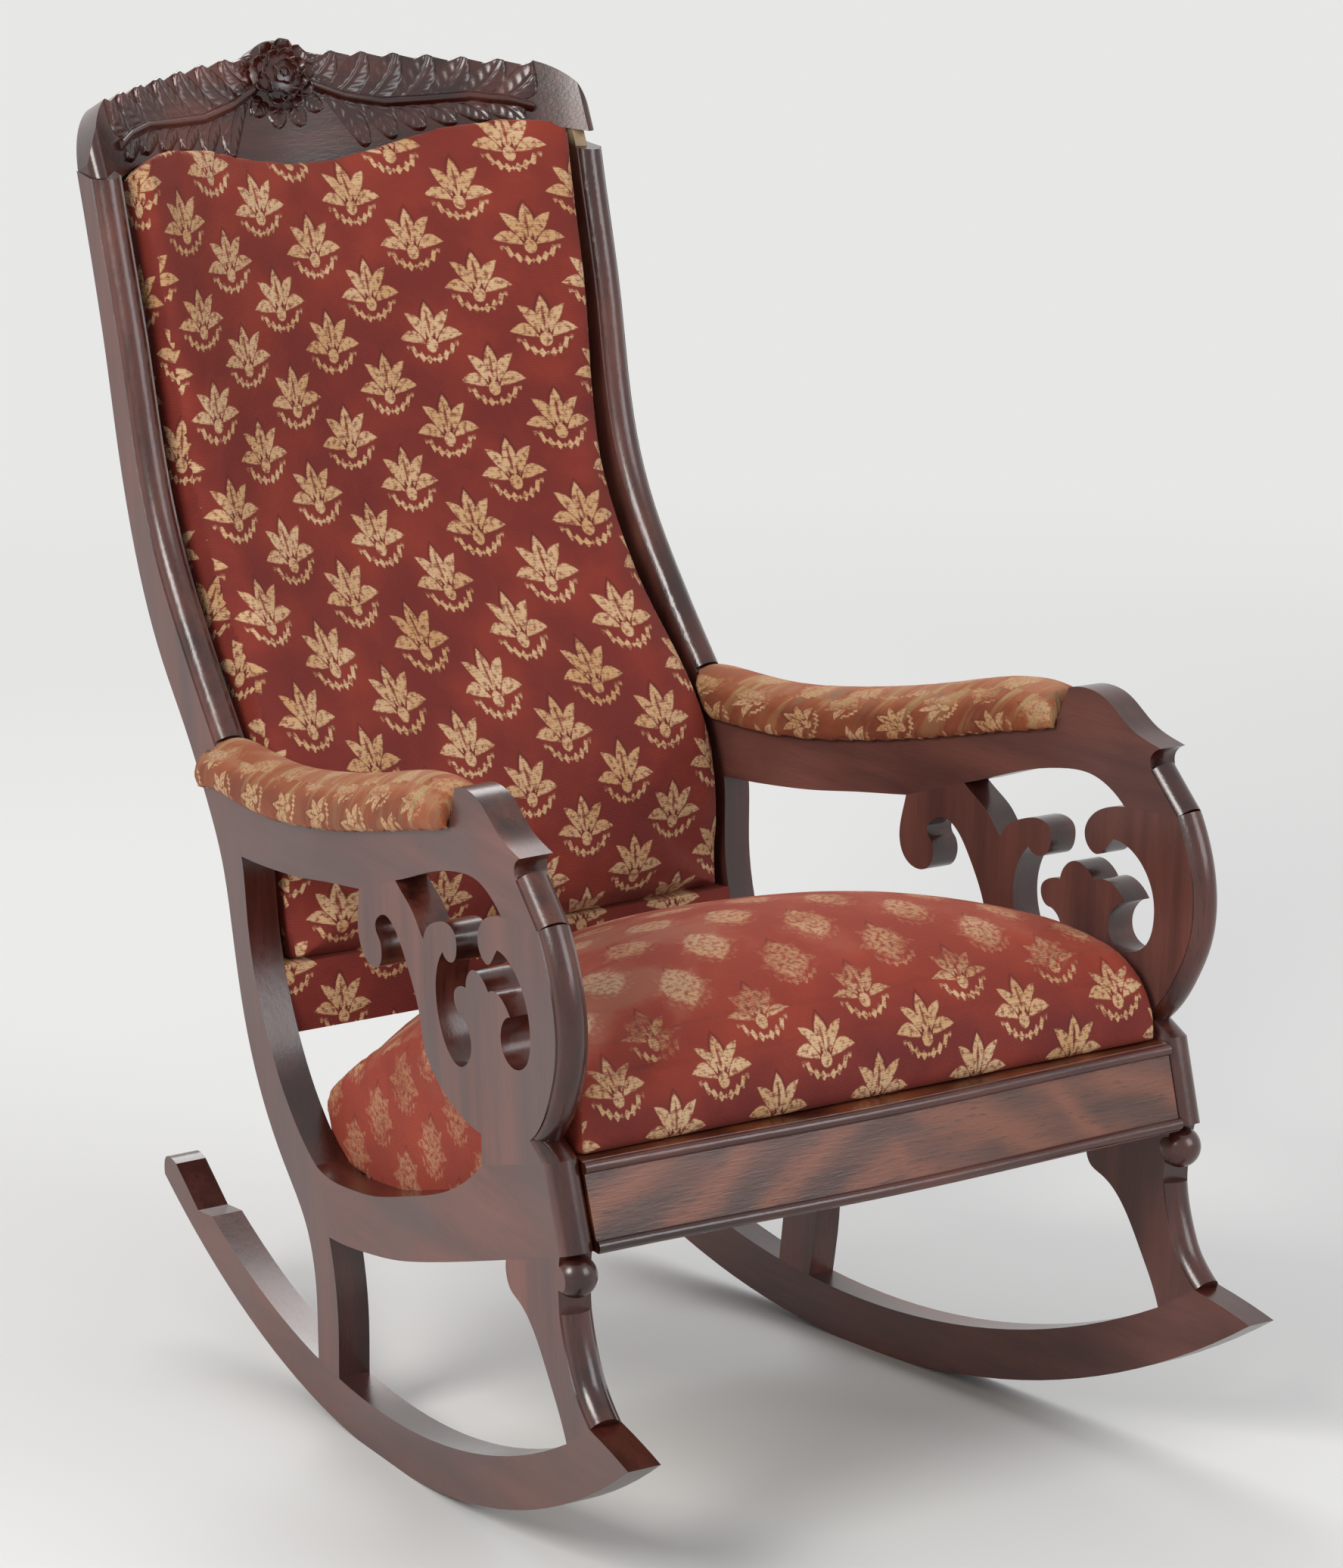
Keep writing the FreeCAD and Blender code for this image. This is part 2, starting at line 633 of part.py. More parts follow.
def crest_plank():
    """Hollowed plank with rounded front corners, upright along the crest's lean."""
    low = -60.0

    def spot(x, depth):
        return on_crest(x, low, depth)

    front_x = crest_half - crest_corner
    front = crest_depth(front_x)
    side, rear = front + crest_corner, front + crest_thickness
    corner = crest_corner * 0.3
    edges = [Part.Arc(spot(-front_x, front), spot(0, crest_bow), spot(front_x, front)).toShape(),
             Part.Arc(spot(front_x, front), spot(crest_half - corner, front + corner),
                      spot(crest_half, side)).toShape(),
             Part.makeLine(spot(crest_half, side), spot(crest_half, rear)),
             Part.Arc(spot(crest_half, rear), spot(0, crest_bow + crest_thickness),
                      spot(-crest_half, rear)).toShape(),
             Part.makeLine(spot(-crest_half, rear), spot(-crest_half, side)),
             Part.Arc(spot(-crest_half, side), spot(-crest_half + corner, front + corner),
                      spot(-front_x, front)).toShape()]
    return closed_face(edges).extrude(crest_up * 250)


def crest_half_outline():
    """Top edge of the crest's +X half, from its end to the middle, as runs of points."""
    end = crest_half - crest_end_slope
    runs = [[(crest_half + 2, 0.0), (crest_half - 3, 24.0), (crest_half - 14, 47.0), (end, crest_end_rise)]]
    pitch = (end - rose_radius * 0.8) / leaf_count
    for step in range(leaf_count):
        tip = end - step * pitch
        notch = (tip - 0.3 * pitch, crest_top(tip - 0.3 * pitch) - leaf_notch)
        following = tip - pitch
        runs.append([(tip, crest_top(tip)), notch])
        runs.append([notch, (tip - 0.6 * pitch, crest_top(tip - 0.6 * pitch) - leaf_notch * 0.6),
                     (following, crest_top(following))])
    return runs


def crest_outline():
    """Face of the whole crest, standing well in front of it."""
    half = crest_half_outline()
    ahead = -150.0
    runs = [[on_crest(x, up, ahead) for x, up in run] for run in half]
    last = half[-1][-1]
    runs.append([on_crest(last[0], last[1], ahead), on_crest(-last[0], last[1], ahead)])
    runs += [[on_crest(-x, up, ahead) for x, up in run[::-1]] for run in half[::-1]]
    low_end = -16.0
    first = half[0][0]
    corner, opposite = on_crest(first[0], low_end, ahead), on_crest(-first[0], low_end, ahead)
    edge = crest_low_points(0.0, ahead, crest_inner - seat_gap)
    runs += [[on_crest(-first[0], first[1], ahead), opposite], [opposite, edge[0]], edge, [edge[-1], corner],
             [corner, on_crest(first[0], first[1], ahead)]]
    return closed_face(runs)


def joint_blocks():
    """Space below the crest's joints: over each stile and out past it."""
    front = (stile_top_front[0] - 40, stile_top_front[1] - 40 * stile_slope)
    rear = (stile_top_rear[0] + 60, stile_top_rear[1] + 60 * stile_slope)
    low = stile_top_front[1] - 90
    block = board_of([[front, rear], [rear, (rear[0], low)], [(rear[0], low), (front[0], low)],
                      [(front[0], low), front]], -30, board + seat_gap)
    return right_side(block)


def tenon_block():
    """Loose tenon over the right-hand stile."""
    centre = crest_half - board / 2 - 1.0
    depth = crest_thickness / 2 - tenon_thickness / 2
    corner = on_crest(-centre - tenon_width / 2, -tenon_into_stile, depth)
    wide_by, deep_by = V(tenon_width, 0, 0), crest_back * tenon_thickness
    ring = [corner, corner + wide_by, corner + wide_by + deep_by, corner + deep_by, corner]
    tall_by = crest_up * (tenon_into_stile + tenon_into_crest)
    return Part.Face(Part.makePolygon(ring)).extrude(tall_by)


tenon = tenon_block()


def make_crest():
    body = crest_outline().extrude(crest_back * 400).common(crest_plank())
    below = joint_blocks()
    return body.cut(below).cut(mirrored(below)).cut(tenon).cut(mirrored(tenon))


crest = make_crest()


def make_rose():
    """Round boss in front of the crest's middle, domed towards the sitter."""
    depth = crest_bow - rose_rise
    disc = Part.makeCylinder(rose_radius, rose_rise + 20, on_crest(0, rose_height, depth), crest_back)
    ball = (rose_radius ** 2 + rose_rise ** 2) / (2 * rose_rise)
    dome = Part.makeSphere(ball, on_crest(0, rose_height, depth + ball))
    return disc.common(dome).cut(crest)


def above_crest(clearance):
    """Everything above the crest's lower edge, for trimming the back's layers."""
    ahead, top, extra = -200.0, 200.0, 40.0
    points = crest_low_points(clearance, ahead, crest_inner - seat_gap, extra)
    half = crest_inner - seat_gap + extra
    left, right = on_crest(half, top, ahead), on_crest(-half, top, ahead)
    zone = closed_face([points, [points[-1], left], [left, right], [right, points[0]]])
    return zone.extrude(crest_back * 500)


def back_layer(front, rear, gap, clearance, low, crown=0.0, shoulder=0.0):
    """Layer of the back, cut off at the crest's lower edge and at a height above the lower rail."""
    body = back_zone(front, rear, gap, crown, shoulder).cut(above_crest(clearance))
    y, z = across(back_rail_high, board)
    below = Part.makeBox(900, 900, 600, V(-450, -300, z + low - 600))
    return body.cut(below)


back_pad_rear = back_pad_depth - back_proud
strip_front = back_pad_rear + seat_gap
canvas_front = strip_front
web_front = canvas_front + canvas_thickness + seat_gap
wide = -15.0
back_pad = back_layer(-back_proud, back_pad_rear, back_gap, seat_gap, 8.0, back_crown, back_shoulder)
canvas_rear = canvas_front + canvas_thickness
back_canvas = back_layer(canvas_front, canvas_rear, wide, 0.0, 0.0).common(room(strip_width))
strips = back_layer(strip_front, strip_front + strip_depth, wide, 0.0, 0.0).common(room())
right_strip = strips.cut(room(strip_width)).common(Part.makeBox(500, 900, 1200, V(-500, -200, 0)))
outside_front = strip_front + strip_depth
outside_back = back_layer(outside_front, outside_front + canvas_thickness, wide, 0.0, 0.0).common(room())


def make_back_webbing():
    """Webs across the back between its two strips."""
    sheet = back_layer(web_front, web_front + webbing_thickness, wide, 0.0, 0.0).common(room(strip_width))
    low, high = across(back_rail_high, board)[1], crest_z
    webs = []
    count = int((high - low) / webbing_pitch)
    for step in range(count):
        z = low + (step + 0.5) * (high - low) / count
        webs.append(sheet.common(Part.makeBox(900, 900, webbing_width, V(-450, -100, z - webbing_width / 2))))
    return webs[0].fuse(webs[1:])


back_webbing = make_back_webbing()


def make_back_rail():
    profile = [back_rail_low, (back_rail_low[0] + back_rail_depth, back_rail_low[1]),
               (back_rail_high[0] + back_rail_depth, back_rail_high[1]), back_rail_high]
    return slab([across(p, board) for p in profile], 300).common(room())


# Arm pads: sections square to the arm's top edge, which they follow past the stile
pad_line = pad_seat[:-1] + [(222, 486), (264, 481)]


def make_arm_pad():
    line = [point(p) for p in pad_line[::-1]]
    spine = curve(line)
    low, high = spine.FirstParameter, spine.LastParameter
    count = 8
    sections = []
    for step in range(count):
        share = step / (count - 1)
        at = low + (high - low) * share
        along = spine.tangentAt(at)
        up = V(0, along.z, -along.y) if along.y < 0 else V(0, -along.z, along.y)
        if up.z < 0:
            up = up * -1.0
        end = min(1.0, 0.55 + min(share, 1 - share) * 4.0)
        rise = arm_pad_rise * end
        over = arm_pad_overhang * (0.7 + 0.3 * end)
        sections.append(pad_section(spine.valueAt(at), up, rise, over))
    body = Part.makeLoft(sections, True, False)
    top = [(p[0], p[1] + seat_gap) for p in pad_line]
    low_front, low_rear = (top[0][0] - 40, 400), (top[-1][0], 400)
    front = (top[0][0] - 40, top[0][1] + 20)
    core = board_of([[low_front, front], [front, top[0]], top, [top[-1], low_rear], [low_rear, low_front]],
                    -seat_gap, board + seat_gap)
    against = [(p[0] - seat_gap, p[1]) for p in stile_face[6:] + stile_plain[1:3]]
    far_high, far_low = (against[0][0] + 90, against[0][1]), (against[0][0] + 90, against[-1][1])
    behind = board_of([against, [against[-1], far_low], [far_low, far_high], [far_high, against[0]]],
                      -seat_gap, board + 60)
    return body.cut(core).cut(behind).cut(facing(stile_face, nosing_depth + seat_gap))


def pad_section(place, up, rise, over):
    """Outline across an arm pad: skirts at both sides of the arm, rounded sides, crowned top."""
    low = place - up * arm_pad_skirt
    high = place + up * rise
    left, right = V(-over, 0, 0), V(board + over, 0, 0)
    inset = V(arm_pad_overhang * 0.6, 0, 0)
    a, b = low + left + inset, low + right - inset
    c, d = high + right - inset, high + left + inset
    side = V(arm_pad_overhang * 0.7, 0, 0)
    return Part.Wire([Part.makeLine(a, b), bulge(b, c, side), bulge(c, d, up * arm_pad_crown),
                      bulge(d, a, side * -1.0)])


arm_pad = make_arm_pad()
rose = make_rose()
cushion = make_cushion()

# Stand everything up
flat = Part.makeBox(1200, 1600, 100, V(-600, -800, rest_flat - 100))
right_runner = right_side(runner).cut(flat)
right_stile = right_side(stile).cut(tenon)


keep("runner_right", right_runner)
keep("runner_left", mirrored(right_runner))
keep("stile_right", right_stile)
keep("stile_left", mirrored(right_stile.cut(right_side(over_joint(open_joint)))))
pair("front_leg", right_side(leg))
pair("side_seat_rail", right_side(side_rail))
pair("colonnette", right_side(colonnette))
pair("arm_support", right_side(support))
pair("arm", right_side(arm))
pair("arm_pad", right_side(arm_pad))
keep("front_seat_rail", front_rail)
keep("front_rail_top_bead", top_bead)
keep("front_rail_bottom_bead", bottom_bead)
keep("rear_seat_rail", rear_rail)
pair("front_block", front_block)
pair("rear_block", rear_block)
keep("seat_webbing", webbing)
keep("seat_canvas", seat_canvas)
keep("seat_cushion", cushion)
keep("crest_rail", crest)
keep("crest_rose", rose)
keep("crest_tenons", Part.makeCompound([tenon, mirrored(tenon)]))
keep("back_lower_rail", make_back_rail())
pair("back_strip", right_strip)
keep("back_webbing", back_webbing)
keep("back_canvas", back_canvas)
keep("back_pad", back_pad)
keep("outside_back", outside_back)

# Move the origin under the middle of the whole chair, on the floor
whole = Part.makeCompound(list(nodes.values())).optimalBoundingBox(True, False)
shift = V(0, -(whole.YMin + whole.YMax) / 2, -rest_flat)
print("moved by", [round(v, 3) for v in shift])
print("size", [round(v, 1) for v in (whole.XLength, whole.YLength, whole.ZLength)])

os.makedirs("parts", exist_ok=True)
for name, shape in nodes.items():
    shape.translate(shift)
    box = shape.BoundBox
    print(name, len(shape.Solids), shape.isValid(), round(shape.Volume),
          [round(v) for v in (box.XMin, box.XMax, box.YMin, box.YMax, box.ZMin, box.ZMax)])
    shape.exportStep("parts/" + name + ".step")
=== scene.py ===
# %% [markdown]
# This lesson dresses a rocking chair with fixed bent runners. The wood comes ready
# shaped from the CAD model; the carving and everything stuffed or woven is made here.
# First the model is loaded.

# %% Load the frame
import math

import bmesh
import bpy
import numpy as np
from mathutils import Matrix, Vector


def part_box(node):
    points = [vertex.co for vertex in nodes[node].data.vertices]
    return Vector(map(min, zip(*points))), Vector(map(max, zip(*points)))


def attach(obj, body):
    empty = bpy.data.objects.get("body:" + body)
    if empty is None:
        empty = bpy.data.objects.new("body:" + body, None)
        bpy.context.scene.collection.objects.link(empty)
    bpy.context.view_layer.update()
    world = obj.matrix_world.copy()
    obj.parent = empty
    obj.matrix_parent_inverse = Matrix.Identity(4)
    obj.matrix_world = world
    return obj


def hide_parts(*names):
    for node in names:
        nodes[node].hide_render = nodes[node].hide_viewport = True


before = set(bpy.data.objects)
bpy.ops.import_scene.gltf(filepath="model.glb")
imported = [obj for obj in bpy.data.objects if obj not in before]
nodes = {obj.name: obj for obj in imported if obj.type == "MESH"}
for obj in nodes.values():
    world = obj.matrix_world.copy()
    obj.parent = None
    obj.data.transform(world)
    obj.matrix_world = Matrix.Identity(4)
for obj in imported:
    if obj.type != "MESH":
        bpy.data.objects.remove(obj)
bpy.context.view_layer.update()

print("pieces from the CAD model:", len(nodes))

# %% [markdown]
# The camera stands in front of the chair, to its right, a little above the arms. A long
# lens keeps the runners nearly parallel, as they look in the photograph.

# %% Camera
scene = bpy.context.scene
scene.view_settings.view_transform = "Standard"
camera_data = bpy.data.cameras.new("camera")
camera_data.lens = 146.59
camera_data.sensor_width = 36.0
camera_data.clip_end = 60.0
camera = bpy.data.objects.new("camera", camera_data)
camera.location = (-2.6351, -3.99328, 1.6842)
camera.rotation_euler = (math.radians(90 - 14.129), 0, math.radians(-34.1667))
scene.collection.objects.link(camera)
scene.camera = camera
print("camera", [round(v, 3) for v in camera.location])

# %% [markdown]
# A large soft lamp on the left lights the side nearest to the camera, a second one in
# front fills the shadows, and a third from behind draws a line of light along the crest.
# The camera and reflections see a pale backdrop, which adds no light to the chair: the
# Light Path node tells such rays from the light that falls on the wood.

# %% Lamps, world and floor
def lamp(name, place, aim, size, power, colour=(1, 1, 1)):
    """A square soft lamp that points at a spot."""
    data = bpy.data.lights.new(name, "AREA")
    data.shape, data.size, data.energy, data.color = "SQUARE", size, power, colour
    made = bpy.data.objects.new(name, data)
    made.location = place
    made.rotation_euler = (Vector(aim) - Vector(place)).to_track_quat("-Z", "Y").to_euler()
    scene.collection.objects.link(made)


chair_middle = (0, 0, 0.5)
lamp("key_lamp", (-3.3, -1.1, 2.7), chair_middle, 1.5, 105, (1.0, 0.97, 0.93))
lamp("fill_lamp", (1.6, -3.4, 2.2), chair_middle, 2.0, 52, (0.97, 0.98, 1.0))
lamp("rim_lamp", (0.8, 2.4, 2.6), (0, 0, 0.7), 1.6, 40)

print("three lamps")

# %% World
world = bpy.data.worlds.new("studio")
scene.world = world
world.use_nodes = True
world.node_tree.nodes["Background"].inputs["Color"].default_value = (0.92, 0.93, 0.95, 1)
world.node_tree.nodes["Background"].inputs["Strength"].default_value = 0.55
backdrop = (0.8, 0.8, 0.79, 1)


def seen_or_mirrored(tree):
    """1 for what the camera or a reflection sees, 0 for the light that falls on the chair."""
    path = tree.nodes.new("ShaderNodeLightPath")
    either = tree.nodes.new("ShaderNodeMath")
    either.operation = "MAXIMUM"
    tree.links.new(path.outputs["Is Camera Ray"], either.inputs[0])
    tree.links.new(path.outputs["Is Glossy Ray"], either.inputs[1])
    return either.outputs[0]


sky = world.node_tree
pale = sky.nodes.new("ShaderNodeBackground")
pale.inputs["Color"].default_value = backdrop
choice = sky.nodes.new("ShaderNodeMixShader")
sky.links.new(seen_or_mirrored(sky), choice.inputs[0])
sky.links.new(sky.nodes["Background"].outputs[0], choice.inputs[1])
sky.links.new(pale.outputs[0], choice.inputs[2])
sky.links.new(choice.outputs[0], sky.nodes["World Output"].inputs["Surface"])

strength = world.node_tree.nodes["Background"].inputs["Strength"].default_value
print("the world lights the chair with strength", round(strength, 2))

# %% Floor
floor_half = 9.0
floor_mesh = bpy.data.meshes.new("floor")
floor_mesh.from_pydata([(-floor_half, -floor_half, 0), (floor_half, -floor_half, 0),
                        (floor_half, floor_half, 0), (-floor_half, floor_half, 0)], [], [(0, 1, 2, 3)])
floor = bpy.data.objects.new("floor", floor_mesh)
scene.collection.objects.link(floor)
print("floor", 2 * floor_half, "m across")

# %% [markdown]
# A finish is easier to read when its formula is written as a sum. This small helper
# carries one value through the nodes of a material, so that a + b makes an Add node.

# %% Formulas made of nodes
class Value:
    """One number on its way through a material's nodes."""

    def __init__(self, tree, socket):
        self.tree, self.socket = tree, socket

    def use(self, kind, *others):
        node = self.tree.nodes.new("ShaderNodeMath")
        node.operation = kind
        for place, other in enumerate((self, *others)):
            if isinstance(other, Value):
                self.tree.links.new(other.socket, node.inputs[place])
            else:
                node.inputs[place].default_value = other
        return Value(self.tree, node.outputs[0])

    def __add__(self, other): return self.use("ADD", other)
    def __sub__(self, other): return self.use("SUBTRACT", other)
    def __mul__(self, other): return self.use("MULTIPLY", other)
    def __truediv__(self, other): return self.use("DIVIDE", other)
    def power(self, other): return self.use("POWER", other)
    def greatest(self, other): return self.use("MAXIMUM", other)
    def least(self, other): return self.use("MINIMUM", other)
    def size(self): return self.use("ABSOLUTE")
    def whole(self): return self.use("FLOOR")
    def wave(self): return self.use("SINE")

    def step(self, low, high, start=0.0, end=1.0):
        """Runs softly from start to end while the value goes from low to high."""
        node = self.tree.nodes.new("ShaderNodeMapRange")
        node.interpolation_type = "SMOOTHSTEP"
        self.tree.links.new(self.socket, node.inputs[0])
        for place, number in zip((1, 2, 3, 4), (low, high, start, end)):
            node.inputs[place].default_value = number
        return Value(self.tree, node.outputs[0])


print("formulas can be written with", len([n for n in vars(Value) if not n.startswith("_")]), "functions")


# %% Patterns, colours and bumps
def parts_of(tree, socket):
    """The three numbers of a vector."""
    node = tree.nodes.new("ShaderNodeSeparateXYZ")
    tree.links.new(socket, node.inputs[0])
    return [Value(tree, out) for out in node.outputs]


def noise(tree, vector, scale, detail=3.0, stretch=(1, 1, 1), rough=0.5):
    """Cloudy pattern, drawn out along an axis by a small stretch value."""
    mapping = tree.nodes.new("ShaderNodeMapping")
    mapping.inputs["Scale"].default_value = stretch
    tree.links.new(vector, mapping.inputs["Vector"])
    node = tree.nodes.new("ShaderNodeTexNoise")
    node.inputs["Scale"].default_value = scale
    node.inputs["Detail"].default_value = detail
    node.inputs["Roughness"].default_value = rough
    tree.links.new(mapping.outputs[0], node.inputs["Vector"])
    return Value(tree, node.outputs[0])


def mixed(tree, share, first, second):
    """Colour between two, by a share; each is a colour or a socket."""
    node = tree.nodes.new("ShaderNodeMix")
    node.data_type = "RGBA"
    tree.links.new(share.socket, node.inputs[0])
    for place, colour in ((6, first), (7, second)):
        if isinstance(colour, tuple):
            node.inputs[place].default_value = (*colour, 1)
        else:
            tree.links.new(colour, node.inputs[place])
    return node.outputs[2]


def finish(name, **sockets):
    """An empty material with its shader, and the shader's constant sockets set."""
    made = bpy.data.materials.new(name)
    made.use_nodes = True
    shader = made.node_tree.nodes["Principled BSDF"]
    for key, number in sockets.items():
        shader.inputs[key.replace("_", " ")].default_value = number
    return made, made.node_tree, shader


def bump(tree, shader, height, depth, strength=1.0):
    """Lets a value stand out of the surface by a depth in metres."""
    node = tree.nodes.new("ShaderNodeBump")
    node.inputs["Strength"].default_value = strength
    node.inputs["Distance"].default_value = depth
    tree.links.new(height.socket, node.inputs["Height"])
    tree.links.new(node.outputs[0], shader.inputs["Normal"])


print("helpers for materials are ready")

# %% [markdown]
# The floor is plain and pale, and keeps the chair's shadow. Away from the chair it turns
# into the colour of the backdrop, so that no line shows where it ends.

# %% Floor finish
floor_near, floor_far = 1.1, 3.6          # metres from the middle
floor_finish, tree, shader = finish("pale_floor", Roughness=0.85)
shader.inputs["Base Color"].default_value = (0.72, 0.72, 0.71, 1)
ground_x, ground_y, _ = parts_of(tree, tree.nodes.new("ShaderNodeTexCoord").outputs["Object"])
away = (ground_x * ground_x + ground_y * ground_y).power(0.5).step(floor_near, floor_far)
away = away * Value(tree, seen_or_mirrored(tree))
glow = tree.nodes.new("ShaderNodeEmission")
glow.inputs["Color"].default_value = backdrop
choice = tree.nodes.new("ShaderNodeMixShader")
for out, into in ((away.socket, choice.inputs[0]), (shader.outputs[0], choice.inputs[1]),
                  (glow.outputs[0], choice.inputs[2]),
                  (choice.outputs[0], tree.nodes["Material Output"].inputs["Surface"])):
    tree.links.new(out, into)
floor_mesh.materials.append(floor_finish)
print("the floor fades from", floor_near, "to", floor_far, "m")

# %% [markdown]
# Old mahogany is red-brown with dark drawn-out pores. The moulded fronts were polished
# for years and are nearly black and glossy, while the flat outer sides are matt and
# lighter. The surface's own direction tells these apart. The grain runs with each board,
# so there is one finish for upright, one for lengthwise and one for crosswise boards.

# %% Mahogany
def mahogany(name, stretch, dark, middle, light, figure=0.0, matt_sides=True):
    """Polished wood whose grain is drawn out along the axis with the small stretch."""
    made, tree, shader = finish(name, Coat_Weight=0.35, Coat_Roughness=0.18)
    place = tree.nodes.new("ShaderNodeTexCoord").outputs["Object"]
    bands = noise(tree, place, 26, 5, stretch, 0.6)
    pores = noise(tree, place, 420, 2, stretch, 0.7)
    cloud = noise(tree, place, 6, 2)
    grain = bands.step(0.3, 0.72)
    colour = mixed(tree, grain, dark, middle)
    colour = mixed(tree, cloud.step(0.42, 0.75) * grain, colour, light)
    if figure:
        x, y, z = parts_of(tree, place)
        warp = noise(tree, place, 9, 3, (1, 0.4, 0.6))
        flame = ((x.size() * 75 + z * 120 + warp * 9).wave() * 0.5 + 0.5).power(1.5)
        colour = mixed(tree, flame * figure, colour, light)
    colour = mixed(tree, pores.step(0.56, 0.7) * 0.55, colour, tuple(v * 0.35 for v in dark))
    rough = grain * 0.08 + cloud.step(0.3, 0.8) * 0.14 + 0.2
    if matt_sides:
        side = parts_of(tree, tree.nodes.new("ShaderNodeNewGeometry").outputs["Normal"])[0].size()
        side = side.step(0.8, 0.97) * (cloud.step(0.2, 0.8) * 0.4 + 0.6)
        worn = mixed(tree, grain, (0.11, 0.042, 0.036), (0.2, 0.08, 0.062))
        colour = mixed(tree, side * 0.6, colour, worn)
        rough = rough + side * 0.22
    tree.links.new(colour, shader.inputs["Base Color"])
    tree.links.new(rough.socket, shader.inputs["Roughness"])
    bump(tree, shader, bands * 0.5 + pores * 0.5, 0.0006, 0.5)
    return made


deep, brown, warm = (0.018, 0.003, 0.002), (0.065, 0.012, 0.007), (0.135, 0.034, 0.02)
upright = mahogany("mahogany_upright", (1, 1, 0.07), deep, brown, warm)
lengthwise = mahogany("mahogany_lengthwise", (1, 0.07, 1), deep, brown, warm)
crosswise = mahogany("mahogany_crosswise", (0.07, 1, 1), deep, brown, warm, matt_sides=False)
carved_wood = mahogany("mahogany_carved", (0.2, 1, 1), deep, brown, warm,
                       matt_sides=False)
veneer = mahogany("flame_veneer", (0.12, 1, 1), (0.026, 0.007, 0.004), (0.085, 0.021, 0.01),
                  (0.2, 0.056, 0.023), figure=0.75, matt_sides=False)
plain_wood = mahogany("plain_frame_wood", (0.09, 1, 1), (0.1, 0.055, 0.03), (0.2, 0.12, 0.065),
                      (0.28, 0.18, 0.1), matt_sides=False)
tenon_wood = mahogany("pale_tenon_wood", (1, 1, 0.1), (0.3, 0.19, 0.1), (0.45, 0.31, 0.18),
                      (0.55, 0.4, 0.25), matt_sides=False)
print("seven woods")

# %% [markdown]
# Jute webbing and the canvas over it are plain weaves. Two waves that cross make the
# threads, and a slow cloud keeps the colour from looking printed.

# %% Woven cloth
def plain_weave(name, thread, dark, light, stripe=None):
    """Coarse weave with a thread of that width in metres."""
    made, tree, shader = finish(name, Roughness=0.9, Sheen_Weight=0.1)
    place = tree.nodes.new("ShaderNodeTexCoord").outputs["Object"]
    x, y, z = parts_of(tree, place)
    turns = 2 * math.pi / thread
    cross = (x * turns).wave() * ((y + z) * turns).wave()
    cloud = noise(tree, place, 22, 4)
    colour = mixed(tree, (cross * 0.25 + cloud).step(0.2, 0.9), dark, light)
    tree.links.new(colour, shader.inputs["Base Color"])
    bump(tree, shader, cross, 0.0007, 0.7)
    return made


jute = plain_weave("webbing", 0.0022, (0.2, 0.13, 0.07), (0.42, 0.31, 0.18))
canvas = plain_weave("canvas", 0.0012, (0.32, 0.27, 0.19), (0.55, 0.48, 0.36))
lining = plain_weave("lining_cloth", 0.001, (0.035, 0.008, 0.007), (0.11, 0.025, 0.018))
print("three weaves")

# %% [markdown]
# The cover is a figured velvet: gold palmettes on a dark red pile, in rows that are
# shifted by half a step. Each palmette is a pointed leaf, two pairs of side leaves that
# curve out and down, a ball below them and a scalloped row of beads. Its outline is
# written as a formula in millimetres, on the cloth's own map, so it bends with the cloth.

# %% Figured velvet
across_step, up_step = 90.0, 39.0         # from motif to motif, and from row to row, in mm
rib_step = 1.3
motif_wide, motif_tall, motif_low = 0.95, 1.18, 4.0


def petal(p, q, centre, turn, half_width, half_length, bend=0.0, soft=0.22):
    """Pointed leaf shape: 1 inside, 0 outside."""
    cos, sin = math.cos(math.radians(turn)), math.sin(math.radians(turn))
    a, b = p - centre[0], q - centre[1]
    along, side = a * sin + b * cos, a * cos - b * sin
    side = side - along * along * bend
    reach = (along / half_length)
    edge = side.size() / half_width + reach * reach
    return edge.step(1.0 - soft, 1.0 + soft, 1.0, 0.0)


